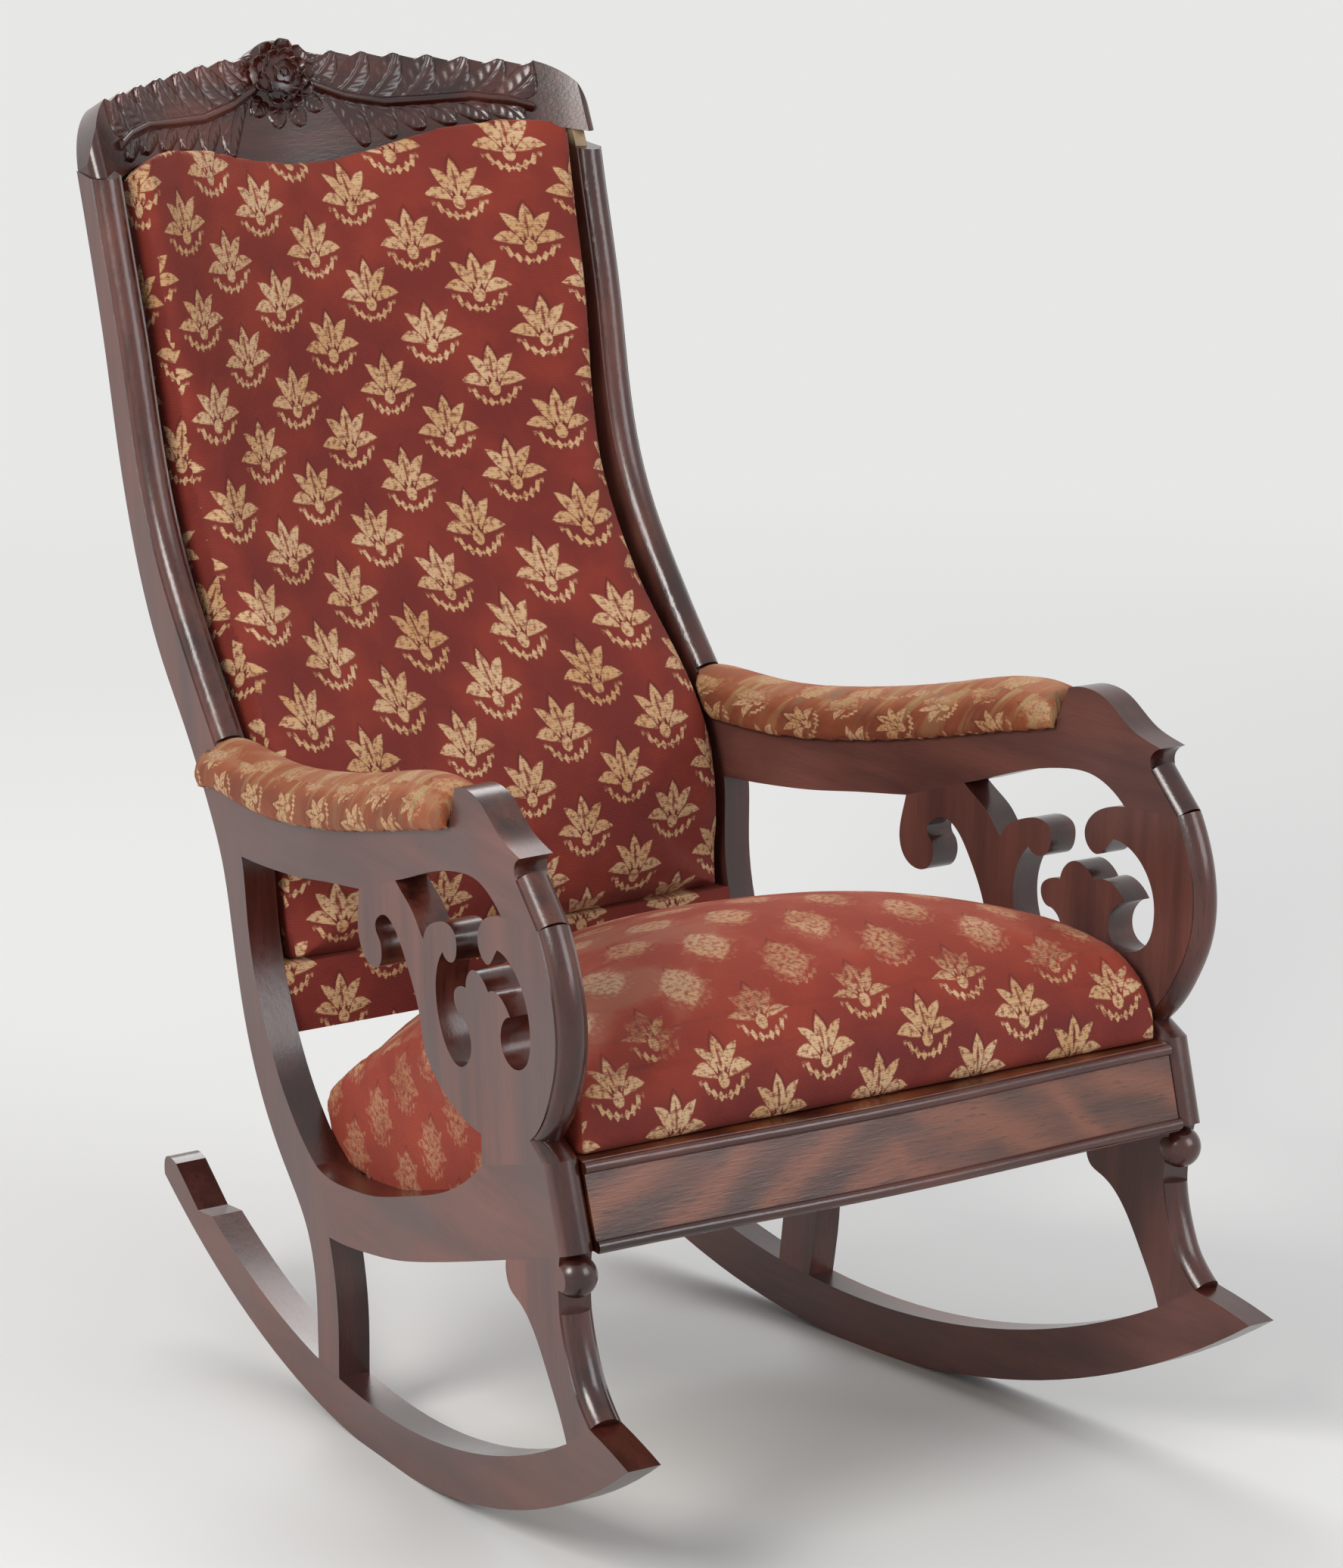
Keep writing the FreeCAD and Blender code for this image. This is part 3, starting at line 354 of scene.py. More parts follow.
def velvet(name, start=(0.0, 0.0), red=(0.12, 0.006, 0.004), painted_light_red=(0.3, 0.034, 0.012),
           gold=(0.5, 0.28, 0.12), pale=(0.62, 0.42, 0.24), streaks=0.0):
    """The cover's cloth; start shifts its pattern so that the motifs fall where they do."""
    made, tree, shader = finish(name, Roughness=0.8, Sheen_Weight=0.2, Sheen_Roughness=0.4)
    shader.inputs["Sheen Tint"].default_value = (0.9, 0.3, 0.2, 1)
    cloth = tree.nodes.new("ShaderNodeUVMap")
    cloth.uv_map = "cloth"
    drift = noise(tree, cloth.outputs[0], 9, 2)
    u, v, _ = parts_of(tree, cloth.outputs[0])
    u, v = u * 1000 + (drift * 6 - 3 + start[0]), v * 1000 + (drift * 5 - 2.5 + start[1])
    rising = (u / across_step + v / (2 * up_step) + 0.5).whole()
    falling = (u / across_step - v / (2 * up_step) + 0.5).whole()
    q = (v - (rising - falling) * up_step) / motif_tall + motif_low
    side = (u - (rising + falling) * (across_step / 2)).size() / motif_wide

    figure = petal(side, q, (0, 11), 0, 5.6, 14)
    figure = figure.greatest(petal(side, q, (9.5, 10), 36, 4.4, 12.5, 0.018))
    figure = figure.greatest(petal(side, q, (15.5, 1.5), 78, 4.4, 11.5, 0.028))
    ball = (side * side + (q + 6) * (q + 6)) / 26
    figure = figure.greatest(ball.step(0.7, 1.3, 1.0, 0.0))
    beads = (side * side + (q - 8) * (q - 8)).power(0.5) - 24
    gap = (side * 1.05).wave() * 1.3
    low = (q + 5).step(-3, 3, 1.0, 0.0)
    figure = figure.greatest((beads.size() + gap).step(0.9, 3.0, 1.0, 0.0) * low)
    vein = petal(side, q, (0, 10), 0, 1.3, 9, 0, 0.4)
    outline = petal(side, q, (0, 11), 0, 7.6, 17, 0, 0.2) - petal(side, q, (0, 11), 0, 6.2, 15, 0, 0.2)

    # The wear value holds real wear and painted light: where it is high the motifs are rubbed away and
    # the ground is painted a lighter red.
    worn = tree.nodes.new("ShaderNodeAttribute")
    worn.attribute_name = "wear"
    worn = Value(tree, worn.outputs["Fac"])
    blob = petal(side, q, (0, 4), 0, 19, 20, 0, 0.3)
    fine = noise(tree, cloth.outputs[0], 260, 3)
    cloud = noise(tree, cloth.outputs[0], 14, 4)
    crisp = (figure - vein * 0.6) * (worn.step(0.35, 0.9, 1.0, 0.35))
    crisp = crisp.greatest(blob * worn.step(0.4, 0.95) * cloud.step(0.2, 0.5) * 0.75)
    crisp = crisp * fine.step(0.3, 0.6, 0.35, 1.0) * ((v * 3.1).wave() * 0.12 + 0.88)
    # Painted light: the ground is mixed toward the lit red, a lighter copy of the red pile, where the
    # wear value is high and in random clouds.
    ground = mixed(tree, (cloud.step(0.35, 0.75) * 0.5 + worn * 0.75).least(1.0), red, painted_light_red)
    ground = mixed(tree, outline.step(0.1, 0.8) * 0.5, ground, tuple(v * 0.4 for v in red))
    thread = mixed(tree, cloud.step(0.3, 0.7), gold, pale)
    colour = mixed(tree, crisp.step(0.1, 0.9), ground, thread)
    rubbed = worn.step(0.75, 1.0) * cloud.step(0.45, 0.6)
    colour = mixed(tree, rubbed * 0.22, colour, (0.36, 0.27, 0.17))
    if streaks:
        lines = noise(tree, cloth.outputs[0], 42, 4, (0.12, 1, 1), 0.65)
        colour = mixed(tree, lines.step(0.48, 0.62) * worn * streaks, colour, (0.4, 0.3, 0.13))
        dark_lines = lines.step(0.32, 0.44, 1.0, 0.0)
        colour = mixed(tree, dark_lines * worn * streaks, colour, (0.17, 0.13, 0.07))
    tree.links.new(colour, shader.inputs["Base Color"])
    rib = (v * (2 * math.pi / rib_step)).wave() * 0.12
    bump(tree, shader, crisp * 0.6 + fine * 0.35 + rib, 0.0012, 0.7)
    return made


seat_velvet = velvet("figured_velvet_seat", (0.0, 10.0))
back_velvet = velvet("figured_velvet_back", (-19.0, -15.0))
# The arms' lit red is painted light too: a lighter orange copy of their red pile.
arm_velvet = velvet("figured_velvet_arms", (12.0, 20.0), red=(0.12, 0.018, 0.008),
                    painted_light_red=(0.33, 0.09, 0.03), streaks=0.7)
print("palmettes every", across_step, "mm across, and rows every", up_step, "mm")

# %% [markdown]
# The CAD wood keeps its shape and only gets its finish. A node's material slots are
# replaced by the wood whose grain runs along that board.

# %% Finish the wooden parts
def dress(finish_of, *names):
    """Puts one finish on CAD nodes."""
    for name in names:
        piece = nodes[name]
        piece.data.materials.clear()
        piece.data.materials.append(finish_of)


for side in ("_left", "_right"):
    dress(lengthwise, "runner" + side, "side_seat_rail" + side, "arm" + side)
    dress(upright, "front_leg" + side, "colonnette" + side, "stile" + side, "arm_support" + side)
    dress(plain_wood, "front_block" + side, "rear_block" + side, "back_strip" + side)
dress(veneer, "front_seat_rail")
dress(crosswise, "front_rail_top_bead", "front_rail_bottom_bead")
dress(plain_wood, "rear_seat_rail", "back_lower_rail")
dress(tenon_wood, "crest_tenons")
dress(carved_wood, "crest_rail", "crest_rose")
dress(jute, "seat_webbing", "back_webbing")
dress(canvas, "seat_canvas", "back_canvas")
dress(lining, "outside_back")
print("wood is finished")

# %% [markdown]
# The crest rail is a hollowed plank with its front carved in relief. A relief is a
# height over a flat drawing, so the drawing is made first, in millimetres across and up
# the crest, and each leaf adds its own rounded height. The higher of two leaves shows,
# as it does when a carver undercuts one leaf below the next. The grid of heights is then
# laid on the bowed front of the plank.

# %% Where the crest is
crest_line = Vector((0.0, 344.8, 927.5))          # between the tops of the stiles, in mm
lean = math.radians(24.0)
crest_up = Vector((0.0, math.sin(lean), math.cos(lean)))
crest_back = Vector((0.0, math.cos(lean), -math.sin(lean)))
crest_bow, crest_height, end_rise, end_slope = 84.0, 112.0, 67.0, 34.0
rose_radius, rose_rise, rose_height = 30.0, 12.0, 91.0
leaf_count, leaf_notch = 7, 4.0
crest_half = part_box("crest_rail")[1][0] * 1000
bow_half = crest_half - 13.0
bow_radius = (bow_half ** 2 + crest_bow ** 2) / (2 * crest_bow)
print("half the crest's length", round(crest_half, 1), "mm")


def crest_depth(x):
    """Depth of the plank's front behind the line between the stiles."""
    return crest_bow - bow_radius + np.sqrt(np.maximum(bow_radius ** 2 - x ** 2, 0))


def crest_top(x):
    """Height of the plank's top edge, without notches."""
    share = np.minimum(1.0, np.abs(x) / (crest_half - end_slope))
    return crest_height - (crest_height - end_rise) * share ** 1.7


leaf_end = crest_half - end_slope
leaf_pitch = (leaf_end - rose_radius * 0.8) / leaf_count


def crest_edge(x):
    """Height of the top edge with its leaf tips, as it is cut in the plank."""
    x = np.abs(x)
    back_from_tip = np.mod(leaf_end - x, leaf_pitch) / leaf_pitch
    notch = np.interp(back_from_tip, [0, 0.3, 0.6, 1.0], [0, leaf_notch, leaf_notch * 0.6, 0])
    notch = np.where((x > leaf_end) | (x < rose_radius * 0.8), 0, notch)
    slope = np.interp(x, [leaf_end, crest_half - 14, crest_half - 3, crest_half],
                      [end_rise, 47.0, 24.0, 6.0])
    return np.where(x > leaf_end, slope, crest_top(x) - notch)


def crest_low(x):
    """Height of the carved field's lower edge."""
    return np.interp(np.abs(x), [0, 50, 112, 152, 183, crest_half], [14, 17, 25, 22, 12, 8])


def on_crest(x, up, depth):
    """Place on the crest, in metres."""
    return (crest_line + Vector((x, 0, 0)) + crest_up * up + crest_back * depth) / 1000


print("leaf tips", round(leaf_pitch, 1), "mm apart")

# %% [markdown]
# A carved leaf is a rounded ridge that narrows to its tip, with a groove along its middle
# and veins that run out to its edge. A formula gives its height at every place, so the
# same few lines make every leaf, each with its own base, tip, width and bend.

# %% The shape of one leaf
def leaf(x, up, base, tip, width, height, bend):
    """Height of one leaf: rounded, with a groove along its middle and curved side veins."""
    reach = np.hypot(tip[0] - base[0], tip[1] - base[1])
    ax, ay = (tip[0] - base[0]) / reach, (tip[1] - base[1]) / reach
    along = ((x - base[0]) * ax + (up - base[1]) * ay) / reach
    side = (x - base[0]) * ay - (up - base[1]) * ax - bend * 4 * along * (1 - along)
    inside = (along > 0) & (along < 1)
    full = width * np.sqrt(np.clip(np.sin(np.pi * np.clip(0.12 + 0.86 * along, 0, 1)), 0, 1))
    near = np.clip(np.abs(side) / np.maximum(full, 0.01), 0, 1)
    rounded = np.sqrt(1 - near ** 2)
    veins = 0.5 * np.cos(2 * np.pi * (along * 5 - near * 1.4)) * near * (1 - near) * 2
    groove = 1.3 * np.exp(-(side / 1.3) ** 2) * (along < 0.93)
    curl = 0.55 + 0.45 * np.clip(along, 0, 1) ** 1.5
    return np.where(inside & (near < 1), (height * rounded * curl) + veins - groove, 0)


one_leaf = leaf(np.array([5.0]), np.array([25.0]), (0, 0), (0, 50), 12.0, 7.0, 0.0)
print("a leaf 50 mm long stands", round(float(one_leaf[0]), 1), "mm high beside its groove")

# %% [markdown]
# On each half a rib runs from the rose to the end. Seven leaves rise from it to the tips
# in the top edge, six hang below it, and twelve short ones form a ring round the rose.

# %% The whole relief
rib_points = [(24, 82), (52, 68), (84, 58), (118, 54), (150, 50), (176, 40), (192, 30)]
rib_x, rib_up = np.array(rib_points).T
rib_height, rib_half_width = 8.2, 4.6
low_leaf_count, ring_leaf_count = 6, 12
ring_inner, ring_outer = 24, 45


def carving(x, up):
    """Height of the relief over the plank's front, in millimetres."""
    half = np.abs(x)
    tall = np.full(x.shape, 0.8)
    for step in range(leaf_count):
        tip_x = leaf_end - step * leaf_pitch
        tip = (tip_x + 3, crest_top(tip_x) + 1.0)
        base_x = max(tip_x - 27, 20)
        base = (base_x, np.interp(base_x, rib_x, rib_up) + 1)
        tall = np.maximum(tall, leaf(half, up, base, tip, 13.5, 7.5 - 0.25 * step, 5.0))
    for step in range(low_leaf_count):
        base_x = 40 + step * 24
        low = crest_low(base_x + 20) + 5
        base = (base_x, np.interp(base_x, rib_x, rib_up) - 2)
        tall = np.maximum(tall, leaf(half, up, base, (base_x + 24, low), 11.0, 6.2, -5.0))
    for turn in range(ring_leaf_count):
        angle = 2 * math.pi * (turn + 0.5) / ring_leaf_count
        base = (ring_inner * math.cos(angle), rose_height + ring_inner * math.sin(angle))
        tip = (ring_outer * math.cos(angle), rose_height + ring_outer * math.sin(angle))
        tall = np.maximum(tall, leaf(x, up, base, tip, 9.5, 6.0, 0.0))
    gap = np.abs(up - np.interp(half, rib_x, rib_up))
    rib = rib_height * np.sqrt(np.clip(1 - (gap / rib_half_width) ** 2, 0, 1))
    rib *= (half > rib_x[0]) * (half < rib_x[-1])
    return np.maximum(tall, rib)


print("leaves on the crest:", 2 * (leaf_count + low_leaf_count) + ring_leaf_count)

# %% [markdown]
# The heights are laid on a fine grid between the carved field's lower edge and the top
# edge. A second grid inside the plank closes the piece behind, with a wall all round.

# %% The grid of the relief
across_count, up_count = 430, 84
edge_spare, sunk_depth = 1.5, 5.0
xs = np.linspace(-leaf_end - edge_spare, leaf_end + edge_spare, across_count)
share = np.linspace(0, 1, up_count)
grid_x = np.repeat(xs[:, None], up_count, 1)
low, high = crest_low(xs)[:, None] + 3.0, crest_edge(xs)[:, None] + 0.4
grid_up = low + (high - low) * share[None, :]
relief = carving(grid_x, grid_up)
fade = np.minimum.reduce([np.clip((high - grid_up) / 3.0 + 0.35, 0, 1),
                          np.clip((grid_up - low) / 4.0, 0, 1),
                          np.clip((leaf_end + edge_spare - np.abs(grid_x)) / 5.0, 0, 1)])
relief = relief * fade - 0.2
depth = crest_depth(grid_x) - relief
points = [on_crest(a, b, c) for a, b, c in zip(grid_x.ravel(), grid_up.ravel(), depth.ravel())]
sunk = crest_depth(grid_x) + sunk_depth
points += [on_crest(a, b, c) for a, b, c in zip(grid_x.ravel(), grid_up.ravel() - 0.6, sunk.ravel())]
total = across_count * up_count
faces = []
for i in range(across_count - 1):
    for j in range(up_count - 1):
        a, b = i * up_count + j, (i + 1) * up_count + j
        faces.append((a, b, b + 1, a + 1))
rim = [i * up_count for i in range(across_count)]
rim += list(range((across_count - 1) * up_count + 1, total))
rim += [i * up_count + up_count - 1 for i in range(across_count - 2, -1, -1)]
rim += list(range(up_count - 2, 0, -1))
for a, b in zip(rim, rim[1:] + rim[:1]):
    faces.append((a, a + total, b + total, b))
print("grid of the relief:", across_count, "by", up_count, "points")


# %% Make a piece from points
def piece_from(name, points, faces, finish_of, smooth=True):
    """A new object from points and faces, with loose points removed and faces outwards."""
    mesh = bpy.data.meshes.new(name)
    mesh.from_pydata(points, [], faces)
    work = bmesh.new()
    work.from_mesh(mesh)
    bmesh.ops.delete(work, geom=[v for v in work.verts if not v.link_faces], context="VERTS")
    holes = [e for e in work.edges if e.is_boundary]
    if holes:
        bmesh.ops.holes_fill(work, edges=holes, sides=0)
    bmesh.ops.triangulate(work, faces=[f for f in work.faces if len(f.verts) > 4])
    bmesh.ops.recalc_face_normals(work, faces=work.faces)
    for face in work.faces:
        face.smooth = smooth
    work.to_mesh(mesh)
    work.free()
    mesh.materials.append(finish_of)
    made = bpy.data.objects.new(name, mesh)
    scene.collection.objects.link(made)
    return made


crest_carving = piece_from("crest_carving", points, faces, carved_wood)
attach(crest_carving, "root")
print("carved crest:", len(crest_carving.data.polygons), "faces")

# %% [markdown]
# The rose is made of rings of cupped petals round a bud. All its petals are one mesh: a
# small cupped sheet with two sides and a closed edge, one unit long.

# %% One petal
def petal_mesh():
    """A cupped petal, 1 long, that starts at the origin and points along +Y."""
    across, along = 9, 10
    spots = []
    for layer in (0.0, -0.07):
        for j in range(along + 1):
            t = j / along
            wide = 0.52 * math.sqrt(max(math.sin(math.pi * (0.12 + 0.8 * t)), 0.02))
            for i in range(across + 1):
                s = i / across * 2 - 1
                cup = 0.22 * s * s + 0.26 * t * t - 0.3 * max(t - 0.8, 0)
                spots.append((s * wide, t * (1 - 0.08 * s * s), cup + layer))
    row, sheet = across + 1, (across + 1) * (along + 1)
    faces = []
    for j in range(along):
        for i in range(across):
            a = j * row + i
            faces.append((a, a + 1, a + row + 1, a + row))
            faces.append((a + sheet, a + row + sheet, a + row + 1 + sheet, a + 1 + sheet))
    edge = list(range(row)) + [j * row + across for j in range(1, along + 1)]
    edge += [along * row + i for i in range(across - 1, -1, -1)]
    edge += [j * row for j in range(along - 1, 0, -1)]
    for a, b in zip(edge, edge[1:] + edge[:1]):
        faces.append((a, a + sheet, b + sheet, b))
    return spots, faces


one_petal = piece_from("petal", *petal_mesh(), carved_wood)
print("petal:", len(one_petal.data.polygons), "faces")

# %% [markdown]
# The same petal repeats, so Geometry Nodes set it on the points of a circle, tilt it and
# turn it outwards. The tree's inputs are the ring's sizes; each ring is smaller and
# stands up more than the one below it.

# %% The tree for a ring of petals
ring = bpy.data.node_groups.new("petal_ring", "GeometryNodeTree")
ring.interface.new_socket("Geometry", in_out="OUTPUT", socket_type="NodeSocketGeometry")
sockets = {}
for label, kind in (("Petal", "Object"), ("Petals", "Int"), ("Radius", "Float"), ("Tilt", "Float"),
                    ("Length", "Float"), ("Turn", "Float"), ("Wood", "Material")):
    made = ring.interface.new_socket(label, in_out="INPUT", socket_type="NodeSocket" + kind)
    sockets[label] = made.identifier
taken = ring.nodes.new("NodeGroupInput")
given = ring.nodes.new("NodeGroupOutput")
circle = ring.nodes.new("GeometryNodeMeshCircle")
info = ring.nodes.new("GeometryNodeObjectInfo")
index = ring.nodes.new("GeometryNodeInputIndex")
divide = ring.nodes.new("ShaderNodeMath")
divide.operation = "DIVIDE"
angle = ring.nodes.new("ShaderNodeMath")
angle.operation = "MULTIPLY_ADD"
angle.inputs[1].default_value = 2 * math.pi
angle.inputs[2].default_value = -math.pi / 2
rotation = ring.nodes.new("ShaderNodeCombineXYZ")
copies = ring.nodes.new("GeometryNodeInstanceOnPoints")
whole_turn = ring.nodes.new("GeometryNodeTransform")
turn_vector = ring.nodes.new("ShaderNodeCombineXYZ")
real = ring.nodes.new("GeometryNodeRealizeInstances")
wood = ring.nodes.new("GeometryNodeSetMaterial")
for out, into in ((taken.outputs["Petals"], circle.inputs["Vertices"]),
                  (taken.outputs["Radius"], circle.inputs["Radius"]),
                  (taken.outputs["Petal"], info.inputs["Object"]),
                  (index.outputs[0], divide.inputs[0]), (taken.outputs["Petals"], divide.inputs[1]),
                  (divide.outputs[0], angle.inputs[0]), (taken.outputs["Tilt"], rotation.inputs[0]),
                  (angle.outputs[0], rotation.inputs[2]), (circle.outputs[0], copies.inputs["Points"]),
                  (info.outputs["Geometry"], copies.inputs["Instance"]),
                  (rotation.outputs[0], copies.inputs["Rotation"]),
                  (taken.outputs["Length"], copies.inputs["Scale"]),
                  (copies.outputs[0], whole_turn.inputs["Geometry"]),
                  (taken.outputs["Turn"], turn_vector.inputs[2]),
                  (turn_vector.outputs[0], whole_turn.inputs["Rotation"]),
                  (whole_turn.outputs[0], real.inputs[0]), (real.outputs[0], wood.inputs["Geometry"]),
                  (taken.outputs["Wood"], wood.inputs["Material"]), (wood.outputs[0], given.inputs[0])):
    ring.links.new(out, into)


print("ring of petals:", len(ring.nodes), "nodes,", len(sockets), "inputs")


# %% Rings of petals
def plain_mesh(made):
    """The finished mesh of an object, with its modifiers carried out."""
    bpy.context.view_layer.update()
    return bpy.data.meshes.new_from_object(made.evaluated_get(bpy.context.evaluated_depsgraph_get()))


def petal_ring(count, radius, tilt, length, turn):
    """One ring as a plain mesh, around the origin, in metres."""
    holder = bpy.data.objects.new("ring", bpy.data.meshes.new("ring"))
    scene.collection.objects.link(holder)
    nodes_of = holder.modifiers.new("ring", "NODES")
    nodes_of.node_group = ring
    for label, number in (("Petal", one_petal), ("Petals", count), ("Radius", radius),
                          ("Tilt", math.radians(tilt)), ("Length", length), ("Turn", math.radians(turn)),
                          ("Wood", carved_wood)):
        nodes_of[sockets[label]] = number
    mesh = plain_mesh(holder)
    bpy.data.objects.remove(holder)
    return mesh


# %% Put the rose together
work = bmesh.new()
for count, radius, tilt, length, turn in ((9, 0.0115, 8, 0.0185, 0), (7, 0.0075, 26, 0.0165, 18),
                                          (5, 0.0035, 46, 0.0145, 0), (3, 0.001, 66, 0.0115, 40)):
    work.from_mesh(petal_ring(count, radius, tilt, length, turn))
bpy.data.objects.remove(one_petal)
rose_mesh = bpy.data.meshes.new("rose")
for face in work.faces:
    face.smooth = True
work.to_mesh(rose_mesh)
work.free()
rose_mesh.materials.append(carved_wood)
axes = Matrix((Vector((1, 0, 0)), crest_up, -crest_back)).transposed().to_4x4()
petals_ahead = 4.0                        # of the plank's front
axes.translation = on_crest(0, rose_height, crest_bow - petals_ahead)
rose_mesh.transform(axes)
rose = bpy.data.objects.new("rose", rose_mesh)
scene.collection.objects.link(rose)
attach(rose, "root")
print("rose:", len(rose_mesh.polygons), "faces")

# %% [markdown]
# The seat, the back and the arm pads are stuffed and covered. Each starts from its CAD
# solid, is remeshed evenly and made a little smaller, and is then blown up by the cloth
# simulation, held where it is tacked to the frame, so that it swells and draws in as a
# real cover does. How far a point may move is capped, so it stays clear of the wood.

# %% Read and write a mesh
def merged_copy(node, name):
    """A copy of a CAD node's mesh with its loose triangles joined."""
    mesh = nodes[node].data.copy()
    mesh.name = name
    work = bmesh.new()
    work.from_mesh(mesh)
    bmesh.ops.remove_doubles(work, verts=work.verts, dist=0.00002)
    work.to_mesh(mesh)
    work.free()
    made = bpy.data.objects.new(name, mesh)
    scene.collection.objects.link(made)
    return made


def take_mesh(made):
    """Carries out the modifiers of an object for good."""
    mesh = plain_mesh(made)
    made.modifiers.clear()
    made.data = mesh


def spots(mesh):
    """The mesh's points as rows of numbers."""
    found = np.empty(len(mesh.vertices) * 3)
    mesh.vertices.foreach_get("co", found)
    return found.reshape(-1, 3)


def normals(mesh):
    """The directions of the mesh's points."""
    found = np.empty(len(mesh.vertices) * 3)
    mesh.vertices.foreach_get("normal", found)
    return found.reshape(-1, 3)


def put(mesh, points):
    """Moves the mesh's points."""
    mesh.vertices.foreach_set("co", points.ravel())
    mesh.update()


print("helpers for meshes are ready")

# %% Puff a cushion
cloth_pressure, cloth_frames = 4.0, 20
held_share = 0.2                          # how much of the shrinking a tacked point takes


def stuffed(node, name, voxel, shrink, cap, held):
    """A padded piece made from a CAD solid; held(points, directions) tells which points are tacked."""
    made = merged_copy(node, name)
    remesh = made.modifiers.new("even", "REMESH")
    remesh.mode, remesh.voxel_size = "VOXEL", voxel
    take_mesh(made)
    mesh = made.data
    start = spots(mesh)
    facing = normals(mesh)
    tacked = held(start, facing)
    free = np.where(tacked, held_share, 1.0)
    start = start - facing * (shrink * free)[:, None]
    put(mesh, start)
    group = made.vertex_groups.new(name="tacked")
    group.add([int(i) for i in np.nonzero(tacked)[0]], 1.0, "REPLACE")
    cloth = made.modifiers.new("cloth", "CLOTH")
    rules = cloth.settings
    rules.use_pressure, rules.uniform_pressure_force = True, cloth_pressure
    rules.effector_weights.gravity = 0
    rules.vertex_group_mass = "tacked"
    cloth.point_cache.frame_start, cloth.point_cache.frame_end = 1, cloth_frames
    for number in range(1, cloth_frames + 1):
        scene.frame_set(number)
    puffed = spots(plain_mesh(made))
    made.modifiers.clear()
    scene.frame_set(1)
    moved = puffed - start
    far = np.linalg.norm(moved, axis=1)
    moved *= np.minimum(1.0, cap / np.maximum(far, 1e-6))[:, None]
    put(mesh, start + moved)
    smooth = made.modifiers.new("smooth", "SMOOTH")
    smooth.factor, smooth.iterations = 0.5, 4
    take_mesh(made)
    for face in made.data.polygons:
        face.use_smooth = True
    return made


print("cushions are puffed for", cloth_frames, "frames")


# %% Map the cloth
def map_cloth(made, place_of, wear_of):
    """Writes the cloth's own map and its wear and painted light, from where each point lies."""
    mesh = made.data
    points = spots(mesh)
    facing = normals(mesh)
    mapped = mesh.uv_layers.new(name="cloth")
    corners = np.empty(len(mesh.loops), dtype=np.int32)
    mesh.loops.foreach_get("vertex_index", corners)
    of_face = np.empty(len(mesh.loops), dtype=np.int32)
    for number, face in enumerate(mesh.polygons):
        of_face[face.loop_start:face.loop_start + face.loop_total] = number
    turned = np.empty(len(mesh.polygons) * 3)
    mesh.polygons.foreach_get("normal", turned)
    turned = turned.reshape(-1, 3)[of_face]
    mapped.data.foreach_set("uv", place_of(points[corners], turned).astype(np.float32).ravel())
    worn = mesh.attributes.new("wear", "FLOAT", "POINT")
    worn.data.foreach_set("value", wear_of(points, facing).astype(np.float32))


print("the cloth's map and wear can be written")

# %% [markdown]
# The seat's cover runs from its front over the crown and down to the back. Its map
# follows that line, so the rows of palmettes keep their distance where the seat curves;
# the sides and the rear have a flat map of their own. The top and the side nearest to
# the camera are the most worn, and as painted light their ground turns a lighter red.

# %% Seat cushion
cushion_voxel, cushion_shrink, cushion_cap = 0.006, 0.003, 0.008
seat_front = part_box("seat_cushion")[0][1]
profile = np.array([(0.0, 0.26), (0.0, 0.344), (0.006, 0.38), (0.022, 0.406), (0.056, 0.428),
                    (0.118, 0.442), (0.208, 0.427), (0.266, 0.410), (0.333, 0.386), (0.407, 0.350),
                    (0.492, 0.310)])
profile[:, 0] += seat_front
profile[:, 1] -= 0.0015
lengths = np.concatenate([[0], np.cumsum(np.hypot(*np.diff(profile, axis=0).T))])
lengths -= lengths[1]


def along_profile(y, z):
    """Distance along the seat's middle line of the nearest place on it."""
    best, found = np.full(y.shape, 9.0), np.zeros(y.shape)
    for start, end, before in zip(profile, profile[1:], lengths):
        step = end - start
        share = np.clip(((y - start[0]) * step[0] + (z - start[1]) * step[1]) / (step @ step), 0, 1)
        away = np.hypot(y - start[0] - share * step[0], z - start[1] - share * step[1])
        nearer = away < best
        best = np.where(nearer, away, best)
        found = np.where(nearer, before + share * np.hypot(*step), found)
    return found


def seat_map(points, turned):
    """The cloth's map on the seat: along its line, and flat on its sides and rear."""
    x, y, z = points.T
    top = np.stack([x, along_profile(y, z)], 1)
    side = np.stack([y, z], 1)
    rear = np.stack([x, -z], 1)
    top = np.where((turned[:, 1] > 0.7)[:, None], rear, top)
    return np.where((np.abs(turned[:, 0]) > 0.72)[:, None], side, top)


def seat_wear(points, facing):
    """Wear and painted light from 0 to 1: most on top and on the side nearest to the camera and the key
    lamp.
    """
    x, y, z = points.T
    top = np.clip(facing[:, 2] * 1.5 - 0.35, 0, 1)
    # Painted light: the side toward the key lamp counts as worn, so its ground is painted a lighter red.
    near = np.clip(-facing[:, 0] * 1.2, 0, 1)
    return np.clip(0.85 * top + 0.75 * near, 0, 1)


seat = stuffed("seat_cushion", "seat_cover", cushion_voxel, cushion_shrink, cushion_cap,
               lambda p, n: (n[:, 2] < -0.3) | (p[:, 2] < 0.30) & (np.abs(n[:, 0]) > 0.5))
map_cloth(seat, seat_map, seat_wear)
seat.data.materials.clear()
seat.data.materials.append(seat_velvet)
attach(seat, "root")
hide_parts("seat_cushion")
print("seat:", len(seat.data.polygons), "faces")

# %% [markdown]
# The back pad is tacked along its rear edge and swells to the front between the stiles.
# It leans back nearly evenly, so its height times a fixed share is the length up the
# cloth. Only its upper part, where a head rests, is a little rubbed; its ground there is also painted a
# lighter red, as painted light from above.

# %% Back pad
slope_share = 1.07                        # length up the leaning back for each unit of height


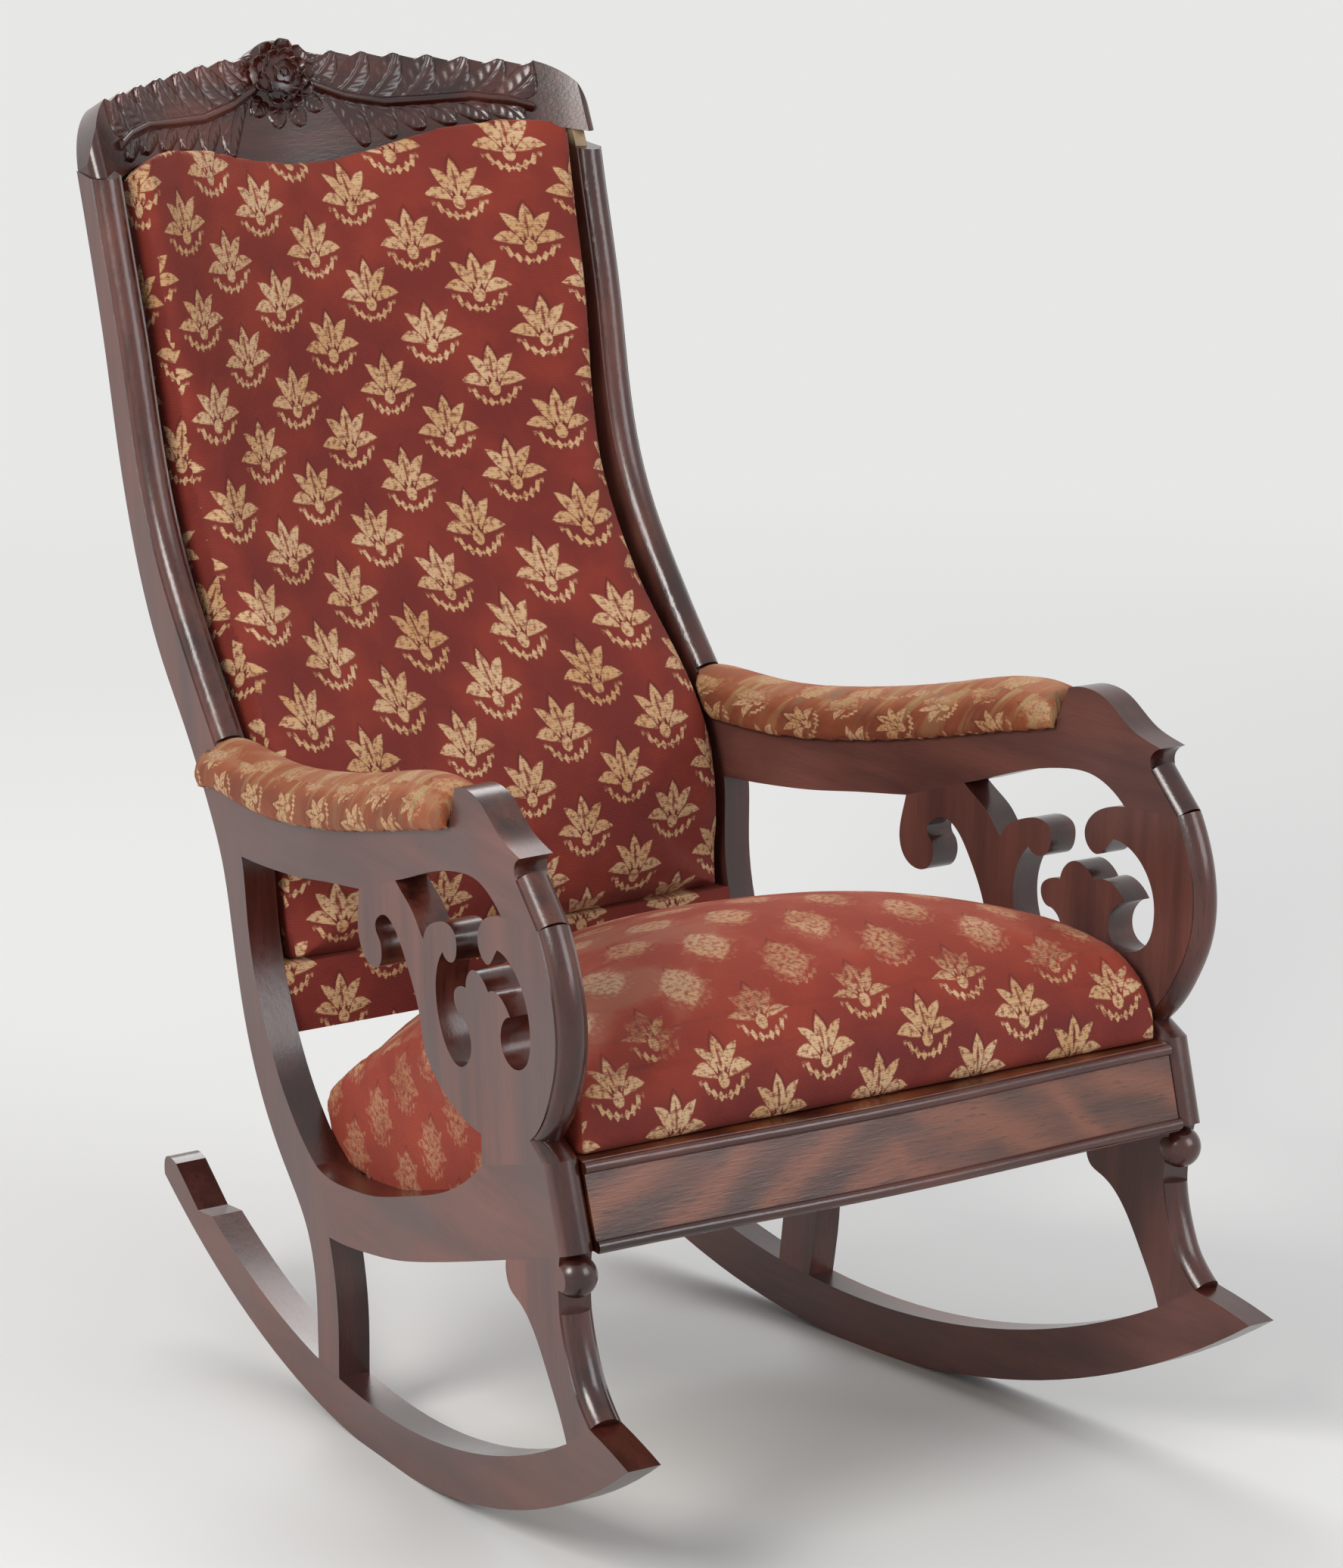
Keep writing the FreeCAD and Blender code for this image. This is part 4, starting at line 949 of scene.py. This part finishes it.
def back_map(points, turned):
    """The cloth's map on the back: across and up the slope, and flat on its sides."""
    x, y, z = points.T
    front = np.stack([x, z * slope_share], 1)
    side = np.stack([y, z], 1)
    return np.where((np.abs(turned[:, 0]) > 0.8)[:, None], side, front)


def back_wear(points, facing):
    """Wear of the back, from 0 to 1, which also paints its ground a lighter red as painted light, most
    near the top.
    """
    z = points[:, 2]
    return np.clip(0.12 + 0.25 * np.clip((z - 0.75) / 0.2, 0, 1), 0, 1)


back = stuffed("back_pad", "back_cover", cushion_voxel, cushion_shrink, cushion_cap,
               lambda p, n: n[:, 1] > 0.3)
map_cloth(back, back_map, back_wear)
back.data.materials.clear()
back.data.materials.append(back_velvet)
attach(back, "root")
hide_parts("back_pad")
print("back:", len(back.data.polygons), "faces")

# %% [markdown]
# Below the pad the velvet is drawn down over the lower back rail. A copy of the rail,
# moved out by the cloth's thickness and tucked up behind the pad, makes that cover.

# %% Cover of the lower back rail
rail_cover = merged_copy("back_lower_rail", "lower_rail_cover")
cover_thickness, tucked_up, top_band = 0.0012, 0.0095, 0.012
cover_points = spots(rail_cover.data)
turned_out = normals(rail_cover.data)
rail_top = cover_points[:, 2].max()
cover_points = cover_points + turned_out * cover_thickness
cover_points[:, 2] += np.where(cover_points[:, 2] > rail_top - top_band, tucked_up, 0)
put(rail_cover.data, cover_points)
map_cloth(rail_cover, back_map, back_wear)
rail_cover.data.materials.clear()
rail_cover.data.materials.append(back_velvet)
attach(rail_cover, "root")

# %% [markdown]
# The arm pads are narrow rolls over the arms. Their map wraps round the arm and runs
# slantwise, as the cloth was cut, so that its worn streaks cross the top at an angle.
# The fronts, where a hand rests, are rubbed down to the ground weave.

# %% Arm pads
arm_voxel, arm_shrink, arm_cap = 0.004, 0.0015, 0.004


def arm_map(points, turned):
    """The cloth's map on an arm pad, wrapped round it and slanted."""
    x, y, z = points.T
    around = x + np.where(np.abs(turned[:, 0]) > 0.7, -np.sign(turned[:, 0]) * z, 0)
    return np.stack([around * 1.5, y * 1.3 + around * 0.8], 1)


def arm_wear(points, facing):
    """Wear and painted light of an arm pad, from 0 to 1: most on top and at its front; where it is high
    the ground is painted a lighter red.
    """
    y = points[:, 1]
    front = np.clip((y.min() + 0.07 - y) / 0.05, 0, 1)
    return np.clip(np.clip(facing[:, 2] * 1.6 - 0.3, 0, 1) + 0.5 * front + 0.35, 0, 1)


for side in ("_left", "_right"):
    pad = stuffed("arm_pad" + side, "arm_cover" + side, arm_voxel, arm_shrink, arm_cap,
                  lambda p, n: n[:, 2] < -0.35)
    map_cloth(pad, arm_map, arm_wear)
    pad.data.materials.clear()
    pad.data.materials.append(arm_velvet)
    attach(pad, "root")
    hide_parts("arm_pad" + side)
    print("arm pad", side, len(pad.data.polygons), "faces")

# %% [markdown]
# The outside of the back and the canvases are single sheets stretched over the frame.
# Each takes its CAD sheet's place as a cloth of its own.

# %% Stretched sheets
def sheet_area(made):
    """Area of one face of a closed sheet."""
    return sum(face.area for face in made.data.polygons) / 2


for node, finish_of, slot_name in (("outside_back", lining, "lining_cloth"),
                                   ("seat_canvas", canvas, "canvas"),
                                   ("back_canvas", canvas, "canvas")):
    cloth = merged_copy(node, node + "_cloth")
    cloth.data.materials.clear()
    cloth.data.materials.append(finish_of)
    for face in cloth.data.polygons:
        face.use_smooth = False
    low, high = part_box(node)
    flat = (high[0] - low[0], math.hypot(high[1] - low[1], high[2] - low[2]))
    area = sheet_area(cloth)
    spare = 1.02 * max(1.0, math.sqrt(area / (flat[0] * flat[1])))    # the bow takes up some width
    flat = (flat[0] * spare, flat[1] * spare)
    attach(cloth, "root")
    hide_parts(node)
    print(node, "sheet", [round(v, 3) for v in flat])

# %% [markdown]
